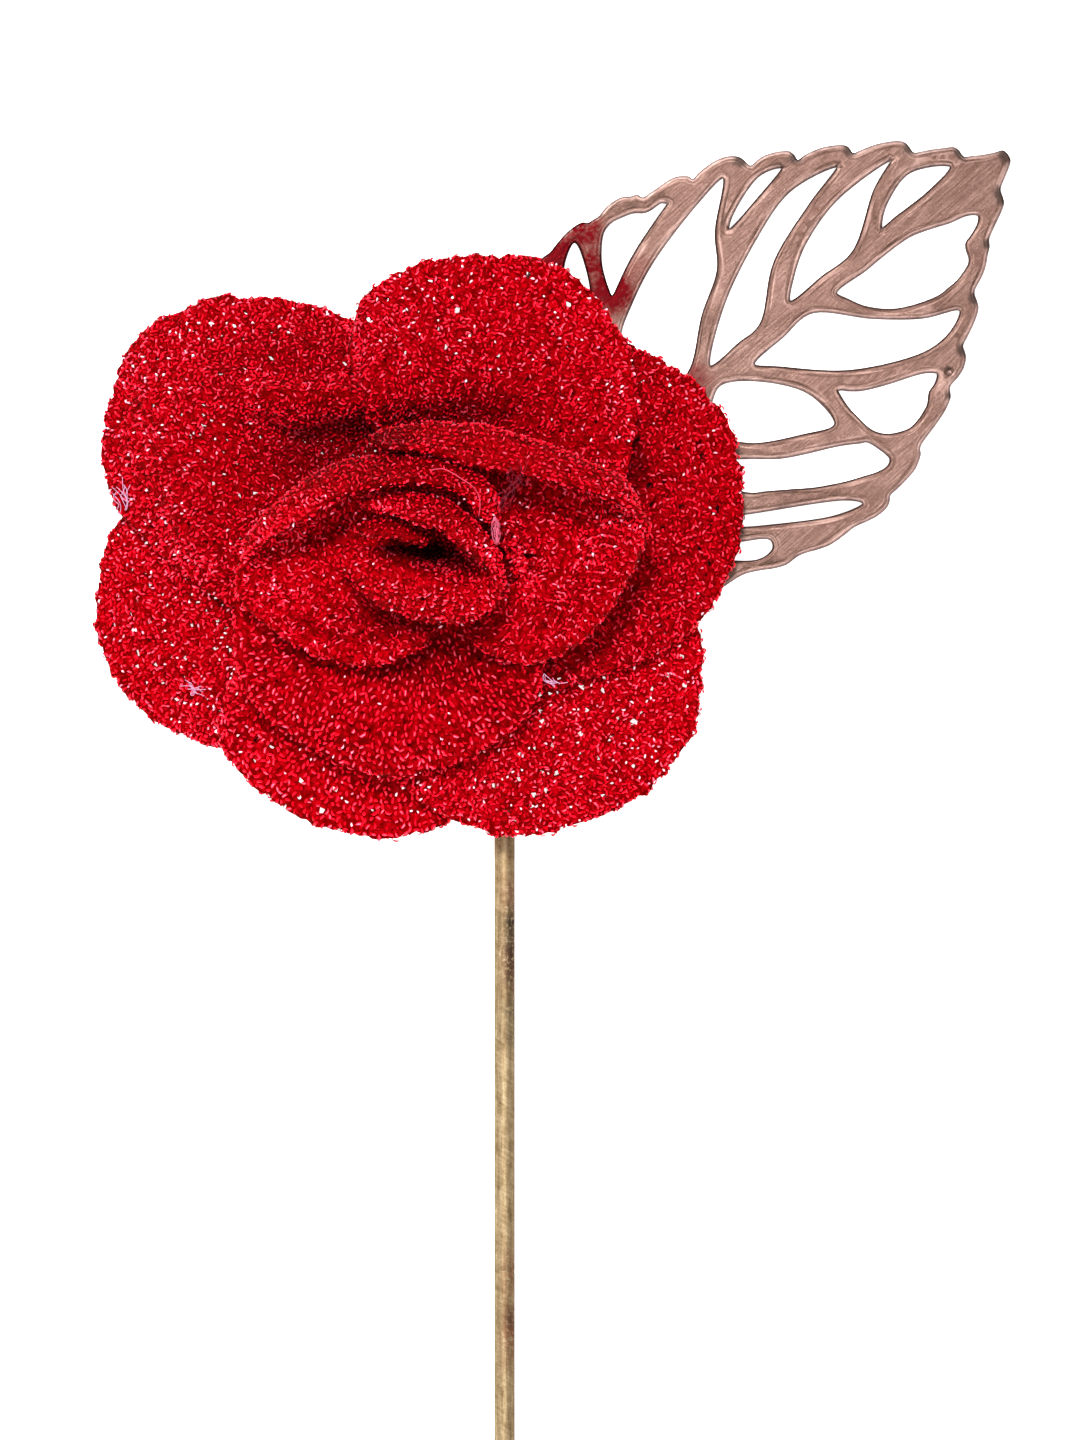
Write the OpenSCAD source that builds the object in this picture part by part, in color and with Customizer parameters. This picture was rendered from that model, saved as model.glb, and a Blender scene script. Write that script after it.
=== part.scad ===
// Flower brooch: a cloth rose with a pierced metal leaf on a straight stick pin.
// It lies on its back on the plane z = 0. X runs to the right of the front view,
// Y up it, and Z towards the viewer. The pin runs along -Y.
// The rose is drawn round its own middle, and everything is shifted at the end
// so that the middle of the whole outline lies at X = 0, Y = 0.

/* [Rose] */
// Width of the rose from side to side
flower_w = 40; // [32:1:48]
// Thickness of the petal cloth
cloth_t = 0.8; // [0.6:0.05:0.9]
// Steps from one petal section to the next
section_steps = 2; // [1:1:3]
// Steps from foot to rim of a petal, three or a multiple of it
profile_steps = 6; // [3:3:9]

/* [Leaf] */
// Length of the leaf from base to tip
leaf_len = 34.5; // [28:0.5:40]
// Thickness of the leaf's sheet metal
leaf_t = 0.7; // [0.5:0.05:0.9]
// Angle of the leaf's midrib in the front view
leaf_turn = 36.1; // [20:0.1:60]
// Radius of the leaf's bend along its length
leaf_bend_r = 300; // [290:10:800]
// Depth of a tooth of the leaf's margin
tooth_d = 0.35; // [0:0.05:0.6]

/* [Pin] */
// Diameter of the pin wire
pin_d = 1.25; // [1:0.05:1.4]
// Length of the pin from its point to its end on the pad
pin_len = 70; // [50:1:80]
// Length of the pin's tapered point
point_len = 6; // [3:0.5:9]
// Thickness of the flat pad that carries the rose
pad_t = 1; // [0.8:0.05:1.2]
// Radius of the pad's round ends
pad_r = 5; // [4:0.25:6]
// Length of the pin's squared end under the pad
squared_len = 7; // [6.5:0.25:9]

/* [Hidden] */

// The tables below are drawn for a rose this wide and a leaf this long
drawn_w = 40;
drawn_leaf_len = 34.5;
rose_scale = flower_w / drawn_w;
leaf_scale = leaf_len / drawn_leaf_len;

// How far the pin sinks into the solder under the pad
solder_sink = 0.25;
// Gap between the pad and the leaf
leaf_gap = 0.1;
pad_top = pin_d - solder_sink + pad_t;
leaf_top = pad_top + leaf_gap + leaf_t;

// The pin lies to the right of the rose's middle and ends a little above it
pin_x = 5.35 * rose_scale;
pin_end_y = 1;
pin_point_r = 0.12;
// The leaf's base, seen from the rose's middle
leaf_base = [8.8, 3.4];

// Petals. Each is a wall of cloth through sections that stand round its own middle.
// Heights count from the top of the leaf, which the feet of the petals rest on.
// Head of each petal: middle x, middle y, foot radius.
// Columns of each section: angle, foot height, inner radius and height,
// crest radius and height, rim radius and height.

petal_left_low = [[0, 0, 3], [
    [166, 0.6, 7.5, 0.9, 11.5, 0.6, 15.5, -0.4],
    [174, 0.6, 8.0, 0.9, 13.0, 0.4, 18.0, -1.4],
    [184, 0.6, 8.0, 0.9, 13.5, 0.3, 19.5, -2.2],
    [196, 0.6, 8.0, 0.9, 14.0, 0.2, 20.4, -2.3],
    [208, 0.6, 8.0, 0.9, 14.0, 0.2, 19.9, -2.2],
    [219, 0.6, 8.0, 0.9, 13.5, 0.3, 18.6, -1.8],
    [229, 0.6, 8.0, 0.8, 12.5, 0.4, 16.4, -1.2],
    [238, 0.6, 7.0, 0.7, 10.5, 0.4, 13.5, -0.6]
]];

petal_low = [[0, 0, 3], [
    [212, 1.8, 6.5, 2.0, 9.5, 2.0, 12.0, 1.8],
    [220, 1.8, 7.5, 2.0, 12.0, 1.8, 15.6, 1.0],
    [228, 1.7, 8.0, 1.9, 13.0, 1.7, 17.4, 0.4],
    [240, 1.4, 8.0, 1.6, 13.0, 1.5, 17.9, 0.0],
    [252, 1.0, 8.0, 1.2, 13.0, 1.2, 18.2, -0.2],
    [264, 0.7, 8.0, 0.9, 13.0, 0.9, 18.0, -0.4],
    [275, 0.6, 8.0, 0.8, 12.5, 0.8, 17.2, -0.4],
    [286, 0.6, 7.5, 0.7, 11.5, 0.7, 15.5, -0.2],
    [294, 0.6, 7.0, 0.7, 10.0, 0.7, 12.5, 0.2]
]];

petal_right_low = [[0, 0, 3], [
    [262, 1.8, 7.0, 2.0, 10.5, 2.1, 13.6, 2.0],
    [270, 1.8, 7.5, 2.0, 12.0, 2.1, 15.4, 1.4],
    [278, 1.7, 8.0, 2.0, 12.5, 2.0, 17.0, 1.0],
    [288, 1.7, 8.0, 1.9, 13.0, 2.0, 18.7, 0.6],
    [300, 1.4, 8.0, 1.6, 13.5, 1.8, 19.7, 0.4],
    [312, 0.9, 8.0, 1.3, 13.5, 1.6, 20.5, 0.2],
    [324, 0.7, 8.0, 1.0, 13.5, 1.3, 20.5, 0.0],
    [336, 0.6, 8.0, 0.9, 13.0, 1.1, 19.1, 0.2],
    [346, 0.6, 8.0, 0.8, 12.5, 0.9, 17.3, 0.6],
    [355, 0.6, 7.5, 0.7, 11.0, 0.9, 14.5, 0.8]
]];

petal_right = [[0, 0, 3], [
    [314, 1.8, 7.0, 2.2, 10.0, 2.5, 12.4, 2.6],
    [322, 1.8, 7.5, 2.2, 10.8, 2.4, 13.2, 2.4],
    [332, 1.8, 8.0, 2.2, 12.0, 2.3, 15.3, 2.0],
    [342, 1.7, 8.0, 2.1, 13.0, 2.2, 17.4, 1.6],
    [354, 1.6, 8.0, 2.0, 13.5, 2.1, 19.1, 1.2],
    [368, 1.1, 8.0, 1.6, 13.5, 1.9, 20.1, 1.0],
    [382, 0.8, 8.0, 1.2, 13.5, 1.7, 20.4, 0.8],
    [394, 0.6, 8.0, 1.0, 13.0, 1.4, 19.2, 0.7],
    [404, 0.6, 8.0, 0.9, 12.5, 1.2, 17.7, 0.6],
    [414, 0.6, 7.5, 0.8, 11.0, 1.0, 15.0, 0.6]
]];

petal_top = [[0, 0, 3], [
    [10, 2.2, 7.0, 2.7, 9.5, 3.0, 11.5, 3.0],
    [18, 2.0, 7.5, 2.6, 10.5, 3.1, 13.3, 2.8],
    [26, 1.8, 8.0, 2.5, 11.5, 3.0, 14.7, 2.6],
    [36, 1.8, 8.0, 2.4, 12.0, 3.0, 16.6, 2.2],
    [48, 1.8, 8.0, 2.2, 12.5, 3.0, 18.2, 2.0],
    [60, 1.8, 7.8, 2.1, 12.5, 3.2, 19.0, 2.0],
    [72, 1.8, 7.5, 2.0, 12.0, 3.6, 18.5, 2.4],
    [84, 1.8, 7.2, 1.9, 11.0, 4.0, 17.6, 2.8],
    [95, 1.8, 7.0, 1.9, 10.3, 4.4, 16.4, 3.2],
    [104, 1.8, 6.6, 2.4, 9.8, 5.3, 14.8, 3.6],
    [110, 1.8, 6.3, 2.5, 8.8, 5.4, 11.5, 5.2]
]];

petal_left_top = [[0, 0, 3], [
    [97, 0.6, 6.3, 0.5, 8.9, 2.2, 11.5, 1.5],
    [108, 0.6, 6.5, 0.6, 9.3, 3.4, 14.6, 1.9],
    [120, 0.6, 7.0, 0.8, 10.2, 4.4, 17.3, 1.8],
    [132, 0.7, 8.2, 1.1, 11.8, 4.6, 19.9, 1.2],
    [144, 0.9, 9.8, 1.8, 15.4, 4.2, 21.2, 0.8],
    [156, 1.2, 9.5, 2.2, 15.5, 3.4, 20.7, 0.4],
    [168, 1.5, 9.0, 2.4, 14.5, 2.6, 19.4, -0.2],
    [180, 1.7, 8.5, 2.4, 12.8, 2.1, 16.2, 0.2],
    [190, 1.8, 8.0, 2.4, 10.8, 2.3, 13.6, 1.4],
    [200, 1.8, 7.0, 2.4, 9.3, 2.5, 11.6, 2.2]
]];

petal_middle = [[0, 0, 3], [
    [178, 3.2, 6.5, 3.7, 8.5, 4.0, 9.5, 4.2],
    [190, 3.2, 7.0, 3.7, 9.3, 4.1, 10.8, 4.1],
    [202, 3.2, 7.5, 3.7, 10.0, 4.2, 12.0, 3.9],
    [214, 3.2, 8.0, 3.6, 11.0, 4.2, 13.1, 3.6],
    [226, 3.2, 8.0, 3.6, 11.5, 4.2, 14.0, 3.3],
    [240, 3.2, 8.0, 3.6, 11.5, 4.2, 13.9, 3.2],
    [254, 3.2, 8.0, 3.6, 11.5, 4.2, 14.2, 3.1],
    [268, 3.2, 8.0, 3.6, 11.5, 4.2, 14.0, 3.2],
    [282, 3.2, 8.0, 3.6, 11.0, 4.2, 13.4, 3.4],
    [296, 3.2, 8.0, 3.6, 10.5, 4.1, 12.7, 3.7],
    [308, 3.2, 7.5, 3.7, 9.8, 4.1, 11.9, 4.0],
    [320, 3.2, 7.0, 3.7, 8.5, 4.0, 10.0, 4.2]
]];

cup_right = [[7.5, -0.7, 1.6], [
    [-132, 4.6, 3.0, 4.8, 5.0, 5.2, 6.6, 5.4],
    [-115, 4.6, 3.0, 4.8, 5.0, 5.3, 6.6, 5.6],
    [-95, 4.6, 3.0, 4.8, 5.0, 5.6, 6.6, 5.9],
    [-75, 4.6, 2.8, 4.8, 4.6, 5.8, 6.0, 6.2],
    [-55, 4.6, 2.6, 4.7, 4.2, 6.0, 5.5, 6.5],
    [-35, 4.6, 2.6, 4.5, 4.2, 6.1, 5.4, 6.7],
    [-15, 4.6, 2.6, 4.4, 4.3, 6.3, 5.5, 7.0],
    [0, 4.6, 2.8, 4.3, 4.7, 6.5, 6.0, 7.4],
    [14, 4.6, 3.0, 4.3, 5.4, 6.9, 6.7, 8.0],
    [26, 4.6, 3.6, 4.3, 6.4, 7.5, 6.3, 9.3],
    [38, 4.6, 4.2, 4.3, 6.7, 8.0, 5.5, 9.8],
    [52, 4.6, 4.4, 4.2, 6.3, 8.1, 4.9, 10.1],
    [66, 4.6, 4.4, 4.2, 6.1, 8.2, 4.7, 10.2],
    [82, 4.6, 4.5, 4.2, 6.3, 8.2, 4.6, 10.2],
    [97, 4.6, 5.0, 4.2, 7.0, 8.2, 4.9, 10.2],
    [111, 4.5, 5.8, 4.2, 8.1, 8.2, 5.5, 10.2],
    [124, 4.4, 7.0, 4.2, 9.3, 8.2, 6.6, 10.3],
    [136, 4.4, 8.6, 4.2, 11.1, 8.1, 9.0, 10.7],
    [146, 4.4, 9.8, 4.3, 12.3, 8.0, 11.3, 10.2]
]];

cup_left = [[-3.7, -1.2, 1.6], [
    [18, 5.8, 6.0, 6.0, 8.9, 8.4, 8.2, 9.8],
    [28, 5.8, 6.6, 6.0, 9.3, 8.8, 7.9, 10.8],
    [40, 5.8, 6.2, 6.0, 8.7, 9.0, 7.2, 11.2],
    [52, 5.8, 5.0, 6.0, 7.8, 9.2, 6.2, 11.4],
    [66, 5.8, 4.6, 6.0, 6.9, 9.2, 5.2, 11.5],
    [82, 5.8, 4.2, 5.8, 6.2, 9.2, 4.5, 11.5],
    [100, 5.8, 3.9, 5.3, 5.9, 9.2, 4.1, 11.4],
    [120, 5.8, 3.8, 4.8, 5.6, 9.1, 3.9, 11.2],
    [140, 5.8, 3.8, 4.7, 5.7, 8.8, 4.1, 10.6],
    [158, 5.8, 4.2, 4.9, 6.2, 8.2, 4.9, 9.6],
    [172, 5.8, 4.4, 5.1, 6.6, 7.4, 6.1, 8.4],
    [186, 5.8, 4.2, 5.2, 6.2, 6.6, 7.2, 7.2],
    [200, 5.8, 4.0, 5.3, 5.8, 6.0, 7.15, 6.5],
    [216, 5.8, 4.0, 5.3, 5.4, 5.8, 6.55, 6.1],
    [236, 5.8, 4.0, 5.3, 5.0, 5.8, 6.1, 6.0],
    [256, 5.8, 4.0, 5.3, 5.0, 5.7, 6.0, 5.9],
    [276, 5.8, 4.0, 5.3, 5.1, 5.7, 6.2, 5.9],
    [296, 5.8, 4.0, 5.4, 5.2, 5.8, 6.35, 6.0],
    [312, 5.8, 4.0, 5.6, 5.3, 6.1, 6.4, 6.3],
    [326, 5.8, 4.0, 5.9, 5.2, 6.6, 6.3, 6.8]
]];

cup_heart = [[0.9, -0.3, 0.9], [
    [-178, 7.0, 1.4, 7.8, 3.6, 9.4, 5.4, 8.8],
    [-165, 7.0, 1.2, 7.8, 2.4, 9.7, 5.3, 8.6],
    [-150, 7.0, 1.1, 8.0, 2.1, 9.9, 5.05, 8.4],
    [-130, 7.0, 1.1, 8.0, 2.0, 10.0, 4.55, 8.3],
    [-110, 7.0, 1.1, 8.0, 1.9, 10.0, 4.25, 8.3],
    [-90, 7.0, 1.1, 8.0, 2.1, 10.0, 4.3, 8.3],
    [-70, 7.0, 1.3, 8.0, 2.4, 9.8, 4.65, 8.4],
    [-52, 7.0, 1.7, 8.0, 3.2, 9.4, 5.15, 8.7],
    [-38, 7.0, 2.2, 8.0, 4.1, 9.2, 5.2, 9.6],
    [-27, 7.0, 2.6, 8.0, 4.7, 9.4, 4.6, 10.5],
    [-16, 7.0, 2.6, 7.9, 4.4, 9.8, 3.4, 11.2],
    [-2, 7.0, 2.1, 7.8, 3.8, 10.0, 2.1, 12.0],
    [14, 7.0, 1.9, 7.8, 3.2, 10.2, 1.7, 12.2],
    [32, 7.0, 1.8, 7.8, 2.9, 10.2, 1.4, 12.4],
    [52, 7.0, 1.8, 7.8, 2.8, 10.2, 1.35, 12.4],
    [76, 7.0, 1.8, 7.8, 2.8, 10.2, 1.4, 12.4],
    [100, 7.0, 1.9, 7.8, 3.0, 10.2, 1.5, 12.3],
    [118, 7.0, 2.1, 7.8, 3.5, 10.1, 1.8, 12.1],
    [132, 7.0, 2.4, 7.8, 4.1, 9.9, 2.6, 11.6],
    [146, 7.0, 2.8, 7.8, 4.8, 9.4, 3.8, 10.6]
]];

bud_heart = [[-1.7, -2.6, 3.3], [
    [48, 8.7, 3.4, 9.2, 3.6, 9.9, 3.4, 10.6],
    [66, 8.7, 3.4, 9.3, 3.7, 10.1, 3.1, 11.0],
    [84, 8.8, 3.45, 9.4, 3.75, 10.2, 3.0, 11.1],
    [102, 8.9, 3.5, 9.5, 3.8, 10.2, 3.1, 11.0],
    [118, 9.1, 3.6, 9.6, 3.9, 10.1, 3.6, 10.6]
]];

// A smooth curve through a list of numbers or points, at any place along it
function at_end(list, i) =
    i < 0 ? 2 * list[0] - list[1]
    : i >= len(list) ? 2 * list[len(list) - 1] - list[len(list) - 2]
    : list[i];
function smooth_mix(a, b, c, d, t) =
    b + 0.5 * t * ((c - a) + t * ((2 * a - 5 * b + 4 * c - d) + t * (3 * b - a - 3 * c + d)));
function along(list, u) =
    let(i = min(floor(u), len(list) - 2))
    smooth_mix(at_end(list, i - 1), at_end(list, i), at_end(list, i + 1), at_end(list, i + 2), u - i);

// A point of a petal's middle surface: u counts sections, v runs from 0 at the foot to 3 at the rim
function petal_point(petal, u, v) =
    let(
        head = petal[0],
        row = along(petal[1], u),
        profile = [[head[2], row[1]], [row[2], row[3]], [row[4], row[5]], [row[6], row[7]]],
        p = along(profile, v)
    )
    rose_scale * [head[0] + p[0] * cos(row[0]), head[1] + p[0] * sin(row[0]), p[1]] + [0, 0, leaf_top];

function unit(v) = v / norm(v);
function petal_normal(petal, u, v) =
    let(step = 0.05)
    unit(cross(
        petal_point(petal, u + step, v) - petal_point(petal, u - step, v),
        petal_point(petal, u, v + step) - petal_point(petal, u, v - step)
    ));

// The points of a petal's upper skin, and then those of its lower one
function petal_skin(petal) =
    [for (side = [1, -1]) for (i = [0:(len(petal[1]) - 1) * section_steps]) for (j = [0:profile_steps])
        let(u = i / section_steps, v = 3 * j / profile_steps)
        petal_point(petal, u, v) + side * cloth_t / 2 * petal_normal(petal, u, v)];

// A petal as a closed wall of cloth: two skins and the four edges between them
module cloth_wall(petal) {
    across = (len(petal[1]) - 1) * section_steps;
    up = profile_steps;
    row_n = up + 1;
    skin_n = (across + 1) * row_n;
    top = [for (i = [0:across - 1]) for (j = [0:up - 1])
        let(a = i * row_n + j)
        each [[a, a + row_n + 1, a + row_n], [a, a + 1, a + row_n + 1]]];
    bottom = [for (f = top) [f[0] + skin_n, f[2] + skin_n, f[1] + skin_n]];
    rim = [for (i = [0:across]) i * row_n + up];
    foot = [for (i = [across:-1:0]) i * row_n];
    start = [for (j = [0:up]) j];
    end = [for (j = [up:-1:0]) across * row_n + j];
    edges = [for (edge = [start, rim, end, foot]) for (k = [0:len(edge) - 2])
        let(a = edge[k], b = edge[k + 1])
        each [[a, a + skin_n, b + skin_n], [a, b + skin_n, b]]];
    polyhedron(points = petal_skin(petal), faces = concat(top, bottom, edges), convexity = 8);
}

module outer_petal_left_low() {
    color("crimson")
    cloth_wall(petal_left_low);
}

module outer_petal_low() {
    color("firebrick")
    cloth_wall(petal_low);
}

module outer_petal_right_low() {
    color("crimson")
    cloth_wall(petal_right_low);
}

module outer_petal_right() {
    color("firebrick")
    cloth_wall(petal_right);
}

module outer_petal_left_top() {
    color("firebrick")
    cloth_wall(petal_left_top);
}

module outer_petal_top() {
    color("crimson")
    cloth_wall(petal_top);
}

module middle_petal() {
    color("red")
    cloth_wall(petal_middle);
}

module right_cup() {
    color("crimson")
    cloth_wall(cup_right);
}

module left_cup() {
    color("red")
    cloth_wall(cup_left);
}

module heart_cup() {
    color("crimson")
    cloth_wall(cup_heart);
}

module heart_bud() {
    color("firebrick")
    cloth_wall(bud_heart);
}

// Leaf outline in the leaf's own plane: x along the midrib from the base, y across it.
// The tips of the margin's teeth, from the base to the leaf's tip, on both sides
upper_tips = [
    [7.4, 12.3], [10.8, 12.7], [13.8, 12.3], [15.8, 11.6], [18.9, 10.7], [21.3, 9.5],
    [23.8, 8.0], [26.9, 6.2], [29.9, 4.0], [32.3, 2.0], [34.5, 0]
];
lower_tips = [
    [5.9, -10.8], [8.8, -11.9], [11.7, -12.6], [15.9, -12.6], [19.3, -11.2], [22.9, -9.5],
    [24.9, -8.3], [27.4, -6.2], [30.4, -3.6], [32.6, -1.7], [34.5, 0]
];
// The plain margin behind the rose, from the lower side to the upper one
base_margin = [
    [5.9, -10.8], [2.1, -8.6], [0.3, -5.0], [-0.1, -0.7], [0.4, 3.2], [2.0, 7.7], [4.4, 10.8], [7.4, 12.3]
];
// The cut-outs between the veins, each as points round its edge
upper_holes = [
    [[8.2, 11.0], [9.6, 11.9], [9.7, 11.0], [8.5, 8.4], [6.6, 7.4], [7.0, 9.2]],
    [[9.6, 7.8], [10.3, 9.8], [11.8, 11.4], [13.8, 11.2], [15.8, 10.4], [14.5, 9.8], [11.2, 8.5]],
    [[7.7, 2.4], [8.3, 5.2], [10.4, 6.8], [13.3, 8.2], [17.4, 9.4], [19.5, 9.6], [17.2, 7.3], [15.8, 5.2],
        [13.4, 3.5], [10.9, 1.3], [8.6, 1.0]],
    [[17.9, 6.8], [18.7, 7.6], [21.2, 8.5], [22.8, 8.0], [20.7, 7.4]],
    [[11.9, 0.8], [14.8, 3.3], [18.5, 5.3], [22.2, 6.6], [25.6, 6.1], [22.9, 5.2], [19.0, 3.6], [16.2, 1.1],
        [14.2, 0.8]],
    [[18.3, 1.0], [19.2, 2.1], [21.3, 3.5], [24.5, 4.5], [28.5, 4.5], [26.5, 3.5], [23.4, 1.3], [20.7, 1.1]],
    [[25.5, 1.4], [26.7, 2.5], [29.0, 3.2], [31.3, 2.0], [29.3, 1.5], [26.7, 1.4]]
];
lower_holes = [
    [[30.9, -1.4], [28.4, -0.5], [26.6, 0.0], [23.1, -0.1], [20.9, -0.2], [21.8, -1.8], [23.3, -3.2],
        [25.8, -4.1], [27.7, -4.0], [29.4, -2.9]],
    [[26.5, -5.5], [24.3, -4.5], [21.8, -2.7], [19.1, -0.3], [16.6, -0.4], [14.2, -0.7], [15.4, -1.9],
        [18.6, -4.5], [22.4, -6.2], [24.8, -6.4]],
    [[17.4, -5.1], [19.1, -6.2], [23.0, -7.7], [21.5, -9.0], [19.5, -9.5], [18.0, -8.9], [17.4, -7.3]],
    [[11.2, -0.7], [12.6, -0.8], [14.7, -2.5], [16.0, -4.4], [16.1, -6.7], [14.1, -6.1], [11.1, -4.6],
        [9.7, -2.5]],
    [[9.1, -4.3], [12.4, -6.5], [15.4, -7.7], [16.9, -8.8], [17.2, -10.4], [15.2, -10.2], [12.6, -9.1],
        [9.1, -6.9], [7.6, -4.8]],
    [[6.9, -7.2], [9.6, -8.5], [13.6, -10.6], [14.6, -11.7], [12.5, -11.2], [9.5, -9.6], [7.3, -8.2]],
    [[5.2, -7.8], [6.9, -8.9], [8.6, -9.9], [8.4, -10.7], [7.1, -10.6], [5.4, -9.2]]
];

// One tooth: it starts a step in from the last tip and swells out to the next one
function tooth(from, to, side) =
    let(
        way = unit(to - from),
        out = side * [-way[1], way[0]],
        start = from - tooth_d * out
    )
    [for (t = [0:0.25:1]) start + t * (to - start) + 1.2 * tooth_d * t * (1 - t) * out];
function toothed(tips, side) =
    [for (i = [0:len(tips) - 2]) each tooth(tips[i], tips[i + 1], side)];
function reversed(list) = [for (i = [len(list) - 1:-1:0]) list[i]];
function open_curve(points, steps) =
    [for (i = [0:steps * (len(points) - 1)]) along(points, i / steps)];
function closed_curve(points, steps) =
    let(n = len(points))
    [for (i = [0:n - 1]) for (k = [0:steps - 1])
        smooth_mix(points[(i + n - 1) % n], points[i], points[(i + 1) % n], points[(i + 2) % n], k / steps)];

module leaf_plan() {
    difference() {
        polygon(concat(
            toothed(upper_tips, 1),
            reversed(toothed(lower_tips, -1)),
            open_curve(base_margin, 3)
        ));
        for (hole = concat(upper_holes, lower_holes)) polygon(closed_curve(hole, 3));
    }
}

// The leaf is the pierced plan cut out of a slightly bent sheet
module leaf() {
    sheet_w = 40;
    sheet_z = leaf_top - leaf_bend_r;
    color("rosybrown")
    translate([leaf_base[0] * rose_scale, leaf_base[1] * rose_scale, 0])
    rotate([0, 0, leaf_turn])
    intersection() {
        linear_extrude(height = 2 * leaf_top) scale(leaf_scale) leaf_plan();
        translate([0, sheet_w / 2, sheet_z]) rotate([90, 0, 0]) difference() {
            cylinder(r = leaf_bend_r, h = sheet_w, $fn = 720);
            translate([0, 0, -1]) cylinder(r = leaf_bend_r - leaf_t, h = sheet_w + 2, $fn = 720);
        }
    }
}

// The pin wire with its point. Its hidden end is squared and soldered under the flat pad.
module stick_pin() {
    round_len = pin_len - squared_len - point_len;
    color("darkkhaki") {
        translate([pin_x, pin_end_y, pin_d / 2]) rotate([90, 0, 0]) {
            translate([-pin_d / 2, -pin_d / 2, 0]) cube([pin_d, pin_d, squared_len]);
            translate([0, 0, squared_len]) cylinder(d = pin_d, h = round_len, $fn = 48);
            translate([0, 0, squared_len + round_len])
            cylinder(r1 = pin_d / 2, r2 = pin_point_r, h = point_len, $fn = 48);
        }
        translate([0, 0, pin_d - solder_sink]) linear_extrude(height = pad_t) {
            circle(r = pad_r, $fn = 96);
            translate([0, -pad_r]) square([pin_x, 2 * pad_r]);
            translate([pin_x, 0]) circle(r = pad_r, $fn = 96);
        }
    }
}

// The middle of the whole outline, from the widest petal to the tips of the leaf and the pin
left_x = min([for (p = petal_skin(petal_left_low)) p[0]]);
leaf_points = [for (p = upper_tips)
    [leaf_base[0] * rose_scale, leaf_base[1] * rose_scale]
    + leaf_scale * [p[0] * cos(leaf_turn) - p[1] * sin(leaf_turn), p[0] * sin(leaf_turn) + p[1] * cos(leaf_turn)]];
right_x = max([for (p = leaf_points) p[0]]);
top_y = max([for (p = leaf_points) p[1]]);
mid_x = (left_x + right_x) / 2;
mid_y = (top_y + pin_end_y - pin_len) / 2;

module placed() {
    translate([-mid_x, -mid_y, 0]) children();
}

placed() outer_petal_left_low();
placed() outer_petal_low();
placed() outer_petal_right_low();
placed() outer_petal_right();
placed() outer_petal_left_top();
placed() outer_petal_top();
placed() middle_petal();
placed() right_cup();
placed() left_cup();
placed() heart_cup();
placed() heart_bud();
placed() leaf();
placed() stick_pin();
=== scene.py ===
"""Looks of a flower brooch: a cloth rose, a pierced metal leaf and a stick pin.

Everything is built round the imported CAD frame. Lengths are in millimetres until a mesh is made.
"""
from collections import namedtuple

import bpy
import numpy as np
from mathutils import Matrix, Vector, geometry


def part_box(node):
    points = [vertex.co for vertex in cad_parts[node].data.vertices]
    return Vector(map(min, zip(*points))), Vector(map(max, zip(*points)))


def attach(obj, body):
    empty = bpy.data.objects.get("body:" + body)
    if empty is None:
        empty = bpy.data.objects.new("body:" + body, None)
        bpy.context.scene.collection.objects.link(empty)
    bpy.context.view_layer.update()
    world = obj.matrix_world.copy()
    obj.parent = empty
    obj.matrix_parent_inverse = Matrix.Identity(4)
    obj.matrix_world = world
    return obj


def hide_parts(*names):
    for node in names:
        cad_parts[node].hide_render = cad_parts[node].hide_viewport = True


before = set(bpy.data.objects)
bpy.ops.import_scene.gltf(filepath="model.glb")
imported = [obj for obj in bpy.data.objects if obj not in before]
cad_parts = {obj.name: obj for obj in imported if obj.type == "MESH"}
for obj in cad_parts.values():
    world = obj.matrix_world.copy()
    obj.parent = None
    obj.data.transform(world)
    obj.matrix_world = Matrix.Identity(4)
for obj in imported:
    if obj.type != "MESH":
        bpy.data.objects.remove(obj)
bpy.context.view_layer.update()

MM = 0.001

# Places that the frame gives
PAD_R = 5.0
PIN_D = 1.25
pin_low, pin_high = (np.array(corner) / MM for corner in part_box("stick_pin"))
ROSE_MIDDLE = np.array([pin_low[0] + PAD_R, pin_high[1] - PAD_R, 0.0])
LEAF_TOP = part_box("leaf")[1][2] / MM

# Cloth: half of the space between its skins, where the grains of yarn lie on them, the size of a mesh cell,
# and how far cells and grains are off their even places, as a share of their spacing
CLOTH_HALF = 0.18
GRAIN_LEVEL = 0.23
CELL = 0.36
JITTER = 0.3
# v at the rim of a petal, where its foot has v = 0
RIM_V = 3
# The feet of the cups are gathered to a point over this much of v, in so many rows, and sink this far
GATHER = 0.5
GATHER_ROWS = 4
GATHER_SINK = 0.9
# Where the side edges of a petal come together: from this v downwards, and over how much of v
CLOSED = {"heart_cup": (0.8, 0.65)}
# The spacing of the grains of yarn on the backs of the wide petals, and along the edges of all of them
BACK_PITCH = 0.42
EDGE_PITCH = 0.27

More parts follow.
